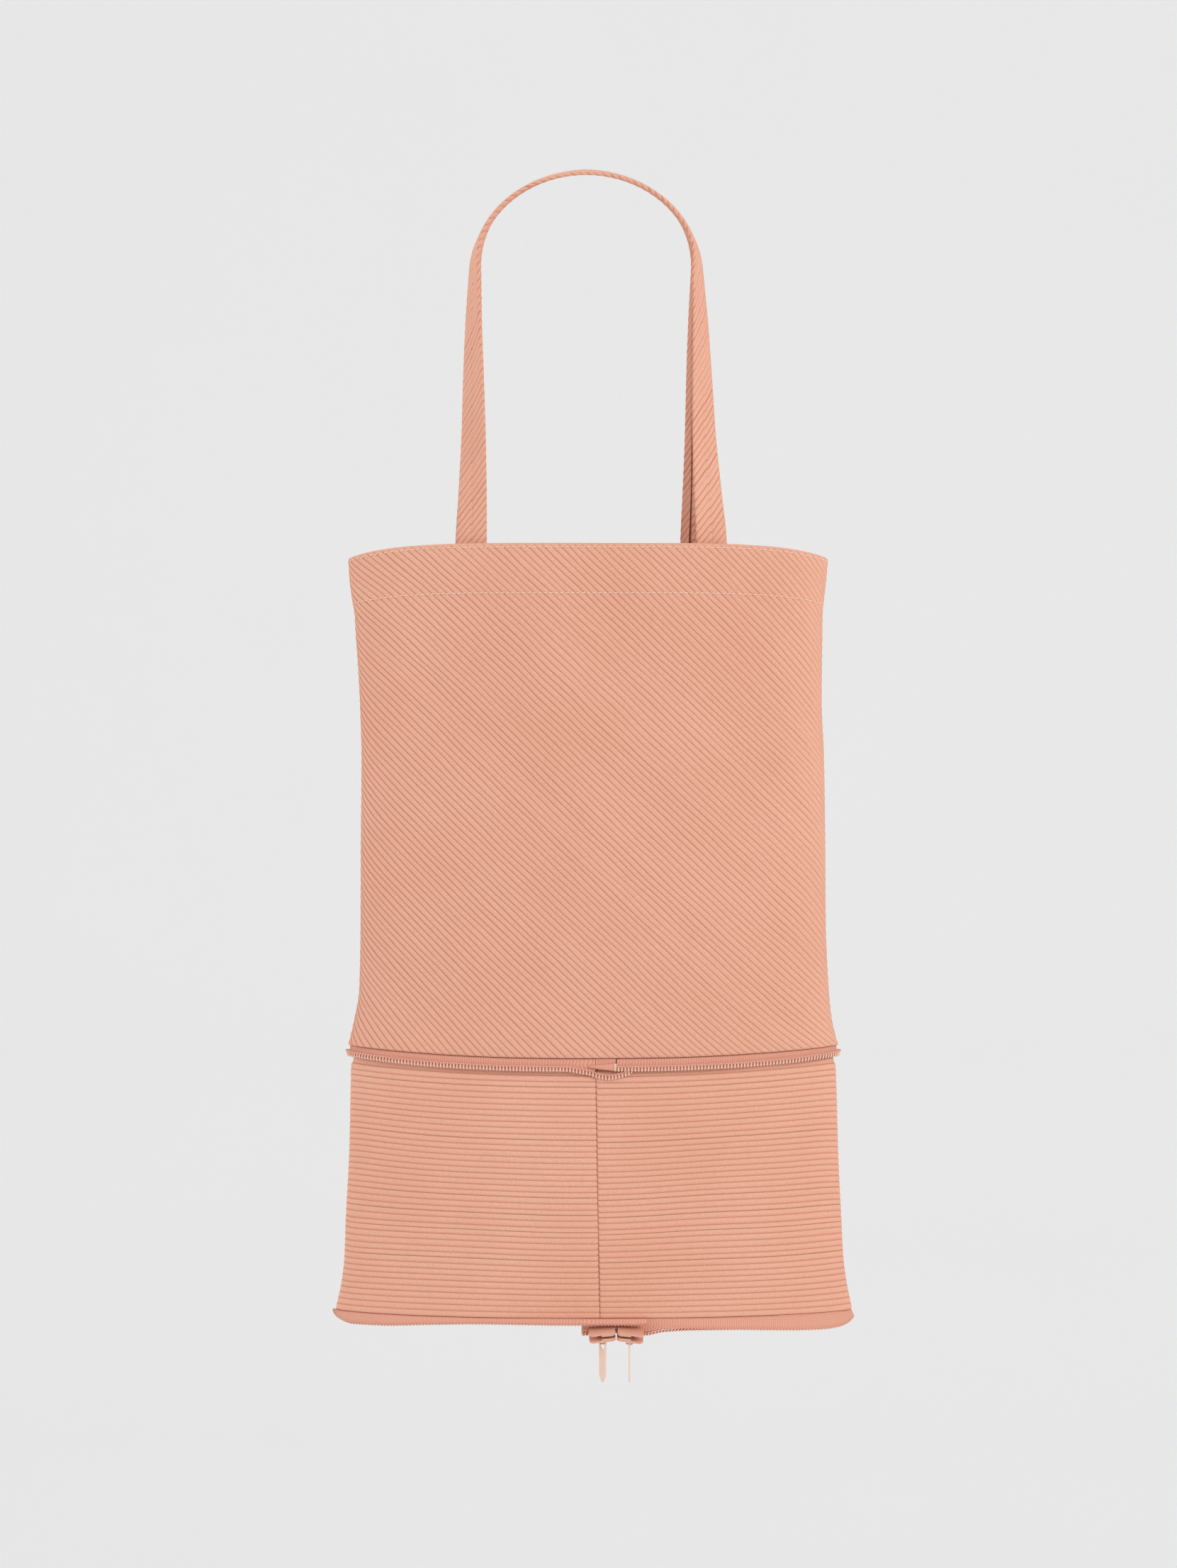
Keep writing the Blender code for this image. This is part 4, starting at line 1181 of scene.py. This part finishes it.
    def section(self) -> np.ndarray:
        """The folded cloth's outline, from its inner lip round the outside to the other lip and back.

        Returns:
            Rows of place across, place along the face's direction, the way along the cloth, the directions
            in which pleats stand out, and how much they do.
        """
        half, thick = self.width * 0.5, self.thickness * 0.5
        flat = half - thick
        bend = np.radians([-60.0, -25.0, 10.0, 45.0])
        near_seam = np.array([-1.5, -0.8, -0.35, 0.0, 0.35, 0.8, 1.5]) * MM
        aside = flat * np.array([0.4, 0.7, 1.0])
        faces = np.concatenate((-aside[::-1], near_seam, aside))
        tail = [-1.3 * MM, -2.0 * MM, self.back_lip]
        under = np.concatenate(([flat, flat * 0.6, flat * 0.3], near_seam[::-1][:6], tail))
        rows = [(u, -thick, 0.0, -1.0) for u in np.linspace(self.front_lip, -flat, 4)]
        rows += [(-flat - thick * math.cos(a), thick * math.sin(a), -math.cos(a), math.sin(a)) for a in bend]
        rows += [(u, thick, 0.0, 1.0) for u in faces]
        rows += [
            (flat + thick * math.cos(a), thick * math.sin(a), math.cos(a), math.sin(a)) for a in bend[::-1]
        ]
        rows += [(u, -thick, 0.0, -1.0) for u in under]
        outer = np.array(rows)
        way = stations(outer[:, :2])
        way -= way[4 + len(bend) + len(faces) // 2]
        fold = 1.0 + 0.8 * np.abs(outer[:, 2]) ** 0.5
        seam = bell(outer[:, 0], 0.6 * MM) * self.groove
        seam *= np.where(outer[:, 3] * outer[:, 1] > 0.0, 1.0, 0.0)
        outer[:, 1] -= outer[:, 3] * seam
        ridge = bell(outer[:, 0] + 1.7 * MM, 0.8 * MM) * 0.35 * MM
        outer[:, 1] -= np.where((outer[:, 3] < 0.0) & (way > 0.0), ridge, 0.0)
        inner = outer[::-2].copy()
        inner[:, :2] -= inner[:, 2:4] * self.cloth
        outside = np.column_stack((outer[:, :2], way, outer[:, 2:4], fold))
        inside = np.column_stack((inner[:, :2], way[::-2], inner[:, 2:4], np.zeros(len(inner))))
        return np.concatenate((outside, inside))

    def build(self) -> None:
        """Fold, pleat, bend and sew the strap."""
        name = "strap_" + self.wall.name.lower()
        route, section, profile = self.route(), self.section(), np.array(STRAP_RIB)
        count = len(profile)
        shear = math.tan(math.radians(self.slope)) * self.wall.value
        ribs = round((route.length - 8.0 * MM) / self.rib_pitch)
        draw = np.random.default_rng(31 + int(self.wall.value))
        jitter = draw.normal(0.0, 0.06, ribs + 1) * self.rib_pitch
        strength = draw.uniform(0.7, 1.25, ribs + 1)
        rows = ribs * count
        base = self.overrun

        def place(column: np.ndarray, row: np.ndarray) -> np.ndarray:
            """Points of the strap for the grid's columns and rows."""
            u, n, way, side_u, side_n, fold = section[column % len(section)].T
            rib, part = row // count, profile[row % count, 0]
            step = self.pleat_step * self.rib_pitch * np.tanh(way / (0.5 * MM))
            along = 4.0 * MM + (rib + part) * self.rib_pitch + jitter[rib] * (1.0 - part) + step
            wave = self.wave_amount * self.rib_pitch * ripple(41, way * 160.0, along * 18.0)
            along = np.clip(along + shear * way + wave, 0.0, route.length)
            ends = np.minimum(along - base, route.length - base - along)
            opening = np.clip(1.0 - (ends - self.opening_start) / self.opening_reach, 0.0, 1.0) ** 2
            flap = np.clip(1.0 - (u - self.front_lip) / (-5.4 * MM), 0.0, 1.0)
            flap = flap * (side_n < -0.9) * (way < 0.0)
            relief = profile[row % count, 1] * fold * strength[rib]
            across = u - flap * opening * self.opening_width + side_u * relief
            return route.at(along, across, n + side_n * relief)

        def crease_shade(column: np.ndarray, row: np.ndarray) -> np.ndarray:
            """How much painted shade each point carries: in the pleats' creases, and on the faces inside the
            fold.
            """
            fold = section[column % len(section), 5]
            # Painted shade on the inside faces, which lie in the fold's hollow.
            inside_shade = np.where(fold == 0.0, 0.7, 0.0)
            return np.clip(profile[row % count, 2] * np.minimum(fold, 1.0) + inside_shade, 0.0, 1.0)

        bm = sheet_mesh(len(section), rows, place, crease_shade)
        foot = -self.rise - (FORM.handle_drop - self.rise) * LEG_ROWS[-1].down
        geometry = list(bm.verts) + list(bm.edges) + list(bm.faces)
        bmesh.ops.bisect_plane(
            bm, geom=geometry, plane_co=(0.0, 0.0, foot), plane_no=(0.0, 0.0, -1.0), clear_outer=True
        )
        bmesh.ops.holes_fill(bm, edges=[edge for edge in bm.edges if edge.is_boundary], sides=0)
        piece = add_piece(name, finish_mesh(name, bm, SMOOTH), CLOTH)
        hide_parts("handle_" + self.wall.name.lower())
        self.sew(name + "_stitches", route, base)

    def sew(self, name: str, route: Route, base: float) -> None:
        """Sew the row of stitches down the middle of both faces.

        Args:
            name: The stitches' name.
            route: The strap's way.
            base: Length of the way before the strap's foot.
        """
        starts = np.arange(base + 6.0 * MM, route.length - base - 6.0 * MM, self.stitch_pitch)
        runs: list[np.ndarray] = []
        for face in (1.0, -1.0):
            level = face * (self.thickness * 0.5 - self.groove - 0.12 * MM)
            first, last = route.at(starts, 0.0, level), route.at(starts + self.stitch_length, 0.0, level)
            lift = route.outward(starts) * face * 0.36 * MM
            runs += stitch_runs(first, last, lift)
        add_piece(name, wire_mesh(name, runs, 0.2 * MM, 6), THREAD)


@dataclass
class Coil:
    """A zip's coil: a wire wound flat along a route, and the thread that holds it."""

    name: str
    node: str
    high: float
    deep: float
    wire: float
    pitch: float = 2.0 * MM
    points: int = 12
    taper: float = 0.0
    core: float = 0.5 * MM

    def build(self, route: Route, stitches: tuple[float, float], cover: float = 0.0) -> None:
        """Wind and sew the coil.

        Args:
            route: Its middle line, with its direction towards the tape and its direction outwards.
            stitches: Heights between which the thread zigzags over the coil.
            cover: Thickness of the tape in front of the coil.
        """
        turns = math.floor(route.length / self.pitch)
        way = np.linspace(0.0, turns * self.pitch, turns * self.points + 1)
        phase = way / self.pitch * 2.0 * math.pi
        size = 1.0 - 0.65 * np.clip(1.0 - (route.length - way) / self.taper, 0.0, 1.0) if self.taper else 1.0
        high = (self.high * 0.5 - self.wire) * np.cos(phase) * size
        deep = (self.deep * 0.5 - self.wire) * np.sin(phase) * size
        lean = way + 0.28 * self.pitch * np.cos(phase)
        coil = route.at(np.clip(lean, 0.0, route.length), high, deep)
        piece = add_piece(self.name, wire_mesh(self.name, [coil], self.wire, 6), COIL)
        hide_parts(self.node)
        # Painted shade: a dark core wire stands in for the shade between the coil's loops.
        core = route.at(np.linspace(0.0, turns * self.pitch, turns * 2), 0.0, 0.0)
        name = self.name + "_shade_core"
        add_piece(name, wire_mesh(name, [core], self.core, 6), SHADE_CORE)
        low, top = stitches
        start = np.arange(0.4, turns - 1.0) * self.pitch
        out = self.deep * 0.5 + cover + 0.12 * MM
        runs: list[np.ndarray] = []
        for begin, end in ((low, top), (top, low)):
            first = route.at(start, begin, out - 0.25 * MM)
            last = route.at(start + self.pitch * 0.5, end, out - 0.25 * MM)
            lift = route.outward(start) * 0.4 * MM
            runs += stitch_runs(first, last, lift)
            start = start + self.pitch * 0.5
        name = self.name + "_thread"
        add_piece(name, wire_mesh(name, runs, 0.24 * MM, 4), ZIP_THREAD)


@dataclass
class UpperZip:
    """Half a coil zip round the seam, whose two ends meet under a stitched tab at the front."""

    tape_start: float = 17.0 * MM
    tape_end: float = 4.1 * MM
    tape_height: float = 7.6 * MM
    tape_inset: float = 1.1 * MM
    tape_wall: float = 0.7 * MM
    coil_start: float = 17.5 * MM
    coil_end: float = 26.0 * MM
    coil_below: float = 6.4 * MM
    coil_inset: float = -0.2 * MM
    side_lift: float = 1.4 * MM
    dip: float = 5.1 * MM
    tab_width: float = 16.6 * MM
    patch_ribs: int = 12
    patch_start: float = 4.3 * MM
    patch_end: float = 16.4 * MM
    patch_top: float = 0.35 * MM
    patch_bottom: float = 4.6 * MM
    tab_start: float = 0.2 * MM
    tab_end: float = 15.9 * MM
    tab_swell: float = 0.4 * MM

    def angles(self, start: float, end: float, step: float = 0.5) -> np.ndarray:
        """Angles of a way round the bag between two places across its front."""
        first = FORM.angle_at(UPPER_SECTIONS, start, 1.0)
        last = FORM.angle_at(UPPER_SECTIONS, end, 1.0) + 360.0
        return np.linspace(first, last, round((last - first) / step))

    def lift(self, angle: np.ndarray) -> np.ndarray:
        """How much closer to the seam the coil lies at the bag's sides."""
        return self.side_lift * np.cos(np.radians(angle)) ** 4

    def build(self) -> None:
        """Make the tape, the coil, the patch and the tab."""
        self.build_tape()
        angle = self.angles(self.coil_start, self.coil_end)
        centre = FORM.upper(angle, 1.0, self.coil_inset)
        out = outward_of(centre)
        dips = read_rows(DIP_ROWS, "share", "across", centre[:, 0] / self.tab_width) * self.dip
        centre[:, 2] += self.lift(angle) - self.coil_below - np.where(angle > 180.0, dips, 0.0)
        route = Route(centre, np.broadcast_to(UP, centre.shape), out)
        coil = Coil("upper_coil_wire", "upper_zip_coil", 3.7 * MM, 2.0 * MM, 0.5 * MM, taper=9.0 * MM)
        coil.build(route, (1.2 * MM, 1.9 * MM))
        self.build_patch()
        self.build_tab()

    def build_tape(self) -> None:
        """Hang the woven tape from the seam, thin at its lower edge."""
        angle = self.angles(self.tape_start, self.tape_end, 1.0)
        downs = np.array([0.25, 0.8, 3.0, 5.2, 7.4, 7.9]) * MM
        tuck = np.array([0.35, 0.0, 0.0, 0.0, 0.0, 0.2]) * MM
        faces = []
        for thickness in (0.0, self.tape_wall):
            inset = self.tape_inset + thickness
            sign = 1.0 if thickness == 0.0 else -1.0
            rows = [FORM.upper(angle, 1.0, inset + sign * t) - UP * d for d, t in zip(downs, tuck)]
            faces.append(np.stack(rows, axis=1))
            faces[-1][:, :, 2] += self.lift(angle)[:, None] * (downs / self.tape_height)[None, :]
        mesh = finish_mesh("upper_tape_cloth", band_mesh(faces[0], faces[1], self.tape_height), CREASED)
        piece = add_piece("upper_tape_cloth", mesh, TAPE)
        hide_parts("upper_zip_tape")

    def front_band(
        self,
        name: str,
        xs: np.ndarray,
        lows: np.ndarray,
        highs: np.ndarray,
        inset: np.ndarray,
        wall: float,
        dark: np.ndarray,
    ) -> bpy.types.Object:
        """Lay a small band on the front below the seam.

        Args:
            name: The piece's name.
            xs: Places across the front.
            lows: Depth of its lower edge below the seam at each place.
            highs: Depth of its upper edge.
            inset: How far inside the upper body's outline each of its points lies.
            wall: Its thickness.
            dark: Painted shade numbers of its points.

        Returns:
            The piece.
        """
        angle = np.array([FORM.angle_at(UPPER_SECTIONS, x, 1.0) for x in xs])
        share = np.linspace(0.0, 1.0, inset.shape[1])[None, :]
        below = highs[:, None] + (lows - highs)[:, None] * share
        faces = []
        for thickness in (0.0, wall):
            points = FORM.upper(angle[:, None], 1.0, inset + thickness)
            points[..., 2] -= below
            faces.append(points)
        piece = add_piece(name, finish_mesh(name, band_mesh(faces[0], faces[1], 4.0 * MM, dark), 50.0), TAPE)
        return piece

    def build_patch(self) -> None:
        """Lay the ribbed patch between the two tape ends."""
        xs = np.linspace(self.patch_start, self.patch_end, self.patch_ribs * 4 + 1)
        rib = np.cos(np.linspace(0.0, 2.0 * math.pi * self.patch_ribs, len(xs)))
        ones = np.ones(len(xs))
        inset = 0.95 * MM - 0.14 * MM * rib[:, None] * np.ones((1, 5))
        # Painted shade in the hollows between the patch's ribs.
        dark = np.clip(-rib, 0.0, 1.0)[:, None] * np.ones((1, 5)) * 0.6
        low, top = self.patch_bottom * ones, self.patch_top * ones
        self.front_band("ribbed_patch", xs, low, top, inset, 0.5 * MM, dark)

    def build_tab(self) -> None:
        """Lay the folded tape end over the patch and sew it down."""
        xs = np.linspace(self.tab_start, self.tab_end, 33)
        share = (xs - xs[0]) / (xs[-1] - xs[0])
        highs = (4.2 - 0.8 * share) * MM
        lows = (5.5 + 2.1 * share**0.7) * MM
        across = np.linspace(-1.0, 1.0, 7)[None, :]
        swell = (1.0 - across**4) * (1.0 - (2.0 * share[:, None] - 1.0) ** 10)
        inset = 0.35 * MM - self.tab_swell * swell
        dark = np.zeros(inset.shape)
        for x in (6.6 * MM, 12.5 * MM):
            hole = np.exp(-(((xs[:, None] - x) / (0.35 * MM)) ** 2) - ((across + 0.5) / 0.22) ** 2)
            inset = inset + 0.35 * MM * hole
            # Painted shade in the pressed dimple.
            dark = np.maximum(dark, hole)
        piece = self.front_band("folded_tab", xs, lows, highs, inset, 0.55 * MM, np.clip(dark, 0.0, 1.0))
        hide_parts("zip_end_tab")
        runs = []
        for x in (15.6 * MM, 16.1 * MM, 16.6 * MM):
            angle = FORM.angle_at(UPPER_SECTIONS, x, 1.0)
            drops = np.array([[3.3], [7.7]]) * MM
            ends = FORM.upper(np.array([angle, angle]), 1.0, 0.25 * MM) - UP * drops
            runs += stitch_runs(ends[:1], ends[1:], np.array([[0.0, -0.45 * MM, 0.0]]))
        add_piece("tab_stitches", wire_mesh("tab_stitches", runs, 0.26 * MM, 6), THREAD)


@dataclass
class LowerZip:
    """The other half of the zip, round the hem, from its start in the sliders to its free end."""

    drop: float = 5.4 * MM
    standoff: float = 3.4 * MM
    slider_tilt: float = 20.0
    diameter: float = 2.4 * MM
    tape_wall: float = 0.7 * MM
    middle_inset: float = 1.2 * MM
    bend_reach: float = 3.4 * MM
    bend_share: float = 0.55

    def frames(self, angle: np.ndarray) -> tuple[np.ndarray, np.ndarray, np.ndarray, np.ndarray]:
        """Frame of the zip: its tape's top, its coil's middle, the coil's lie and the way out."""
        drop, standoff, top, tilt = (
            read_rows(HEM_ROWS, column, "angle", angle)[:, None]
            for column in ("drop", "standoff", "top", "tilt")
        )
        middle = FORM.extension(angle, 1.0, self.middle_inset)
        out = outward_of(middle)
        tape_top = middle + out * (top * self.standoff) - UP * FORM.gap
        coil = middle + out * (standoff * self.standoff) - UP * (drop * self.drop)
        lean = np.radians(tilt * (90.0 - self.slider_tilt))
        return tape_top, coil, out * np.sin(lean) - UP * np.cos(lean), out

    def build(self) -> None:
        """Make the tape and its coil."""
        angle = np.linspace(HEM_ROWS[0].angle, HEM_ROWS[-1].angle, 560)
        top, coil, lie, out = self.frames(angle)
        face = unit(-out * lie[:, 2:3] + UP * np.sum(lie * out, axis=1, keepdims=True))
        tilt = read_rows(HEM_ROWS, "tilt", "angle", angle)[:, None]
        over = face * ((self.diameter + self.tape_wall) * 0.5 + 0.05 * MM) * (1.0 - tilt)
        end = coil + over - lie * ((self.diameter * 0.5 + 0.05 * MM) * tilt - 0.25 * MM * (1.0 - tilt))
        reach = np.minimum(self.bend_reach, np.linalg.norm(top - coil, axis=1) * self.bend_share)
        bend = coil + over - lie * reach[:, None]
        faces = []
        for sign in (1.0, -1.0):
            rows = []
            for share in (0.0, 0.1, 0.3, 0.5, 0.7, 0.9, 1.0):
                point = top * (1.0 - share) ** 2 + bend * (2.0 * share * (1.0 - share)) + end * share**2
                normal = unit(out * (1.0 - share) + face * share)
                slim = 0.25 if share in (0.0, 1.0) else 1.0
                rows.append(point + normal * (sign * slim * self.tape_wall * 0.5))
            faces.append(np.stack(rows, axis=1))
        mesh = finish_mesh("lower_tape_cloth", band_mesh(faces[0], faces[1], self.drop), CREASED)
        piece = add_piece("lower_tape_cloth", mesh, TAPE)
        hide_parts("lower_zip_tape")
        wire = Coil("lower_coil_wire", "lower_zip_coil", self.diameter, self.diameter * 0.95, 0.4 * MM)
        wire.build(Route(coil, -lie, face), (0.1 * MM, 1.15 * MM), self.tape_wall)


@dataclass
class Hardware:
    """The two sliders and their pull tabs, with their moulded edges rounded."""

    edge: float = 0.6 * MM
    steps: int = 4

    def build(self) -> None:
        """Round and finish all four pieces."""
        for node, body, finish, slot in (
            ("slider_left", "bag", ENAMEL, "slider_enamel"),
            ("slider_right", "bag", ENAMEL, "slider_enamel"),
            ("pull_left", "left_tab", PALE_ENAMEL, "pull_enamel"),
            ("pull_right", "right_tab", PALE_ENAMEL, "pull_enamel"),
        ):
            piece = add_piece("cast_" + node, self.rounded(node), finish, body)
            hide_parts(node)

    def rounded(self, node: str) -> bpy.types.Mesh:
        """Copy a node's shape and round its sharp edges.

        Args:
            node: The node's name.

        Returns:
            The rounded mesh.
        """
        bm = bmesh.new()
        bm.from_mesh(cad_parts[node].data)
        bmesh.ops.remove_doubles(bm, verts=bm.verts, dist=1e-6)
        bmesh.ops.dissolve_limit(bm, angle_limit=math.radians(1.0), verts=bm.verts, edges=bm.edges)
        limit = math.radians(25.0)
        sharp = [edge for edge in bm.edges if len(edge.link_faces) == 2 and edge.calc_face_angle() > limit]
        bmesh.ops.bevel(
            bm,
            geom=sharp,
            offset=self.edge,
            segments=self.steps,
            affect="EDGES",
            profile=0.5,
            clamp_overlap=True,
            material=-1,
        )
        return finish_mesh("cast_" + node, bm, 35.0)


@dataclass
class Studio:
    """The camera, the lights and the pale sweep behind the bag."""

    lens: float = 98.4
    eye: Triple = (0.0, -2.6, -0.371)
    middle: Triple = (0.0, 0.0, -0.42)
    world_strength: float = 0.76
    glow: float = 0.085
    floor_level: float = -2.1
    floor_front: float = -9.0
    floor_depth: float = 13.5
    curve: float = 1.6
    rise: float = 5.0
    half_width: float = 11.0

    def build(self) -> None:
        """Set up the studio."""
        camera = bpy.data.cameras.new("camera")
        camera.sensor_fit = "VERTICAL"
        camera.sensor_height = 36.0
        camera.lens = self.lens
        holder = link("camera", camera)
        holder.location = self.eye
        holder.rotation_euler = (math.radians(90.0), 0.0, 0.0)
        bpy.context.scene.camera = holder
        bpy.context.scene.view_settings.view_transform = "Standard"
        world = bpy.data.worlds.new("studio")
        world.use_nodes = True
        background = world.node_tree.nodes["Background"].inputs
        background["Color"].default_value = (1.0, 1.0, 1.0, 1.0)
        background["Strength"].default_value = self.world_strength
        bpy.context.scene.world = world
        self.light("key", (2.2, -2.0, 0.9), 1.0, 33.0, (1.0, 0.99, 0.98))
        self.light("fill", (-2.4, -0.2, 0.1), 1.2, 13.0, (1.0, 1.0, 1.0))
        self.sweep()

    def light(self, name: str, place: Triple, size: float, power: float, colour: Colour) -> None:
        """Hang a square soft light that faces the bag.

        Args:
            name: The light's name.
            place: Where it hangs.
            size: Length of its side.
            power: Its power in watts.
            colour: Its colour.
        """
        lamp = bpy.data.lights.new(name, "AREA")
        lamp.shape = "SQUARE"
        lamp.size = size
        lamp.energy = power
        lamp.color = colour
        holder = link(name, lamp)
        holder.location = place
        aim = Vector(self.middle) - Vector(place)
        holder.rotation_euler = aim.to_track_quat("-Z", "Y").to_euler()

    def sweep(self) -> None:
        """Lay a pale floor that curves up behind the bag."""
        bm = bmesh.new()
        bmesh.ops.create_grid(bm, x_segments=1, y_segments=24, size=1.0)
        for vert in bm.verts:
            way = (vert.co.y + 1.0) * 0.5
            flat, bend = min(way / 0.5, 1.0), min(max((way - 0.5) / 0.25, 0.0), 1.0)
            wall = max((way - 0.75) / 0.25, 0.0)
            turn = bend * math.pi * 0.5
            y = self.floor_front + self.floor_depth * flat + self.curve * math.sin(turn)
            z = self.floor_level + self.curve * (1.0 - math.cos(turn)) + self.rise * wall
            vert.co = Vector((vert.co.x * self.half_width, y, z))
        mesh = bpy.data.meshes.new("sweep")
        bm.to_mesh(mesh)
        bm.free()
        mesh.shade_smooth()
        graph = Graph("sweep")
        mottle = graph.noise(3.0, 2.0, graph.place())
        graph.set(Base_Color=graph.mix(mottle, (0.872, 0.872, 0.872), (0.882, 0.882, 0.882)), Roughness=0.9)
        graph.set(Emission_Color=(1.0, 1.0, 1.0), Emission_Strength=self.glow)
        mesh.materials.append(graph.material)
        sweep = link("sweep", mesh)


def main() -> None:
    """Build every piece of the bag and the studio around it."""
    logging.basicConfig(level=logging.INFO, format="%(name)s: %(message)s")
    UpperBody().build()
    Extension().build()
    BottomPanel().build()
    Handle(Wall.FRONT, 70.5 * MM, 74.0 * MM).build()
    Handle(Wall.BACK, 72.0 * MM, 65.5 * MM, 3.3 * MM).build()
    UpperZip().build()
    LowerZip().build()
    Hardware().build()
    Studio().build()


if __name__ == "__main__":
    main()
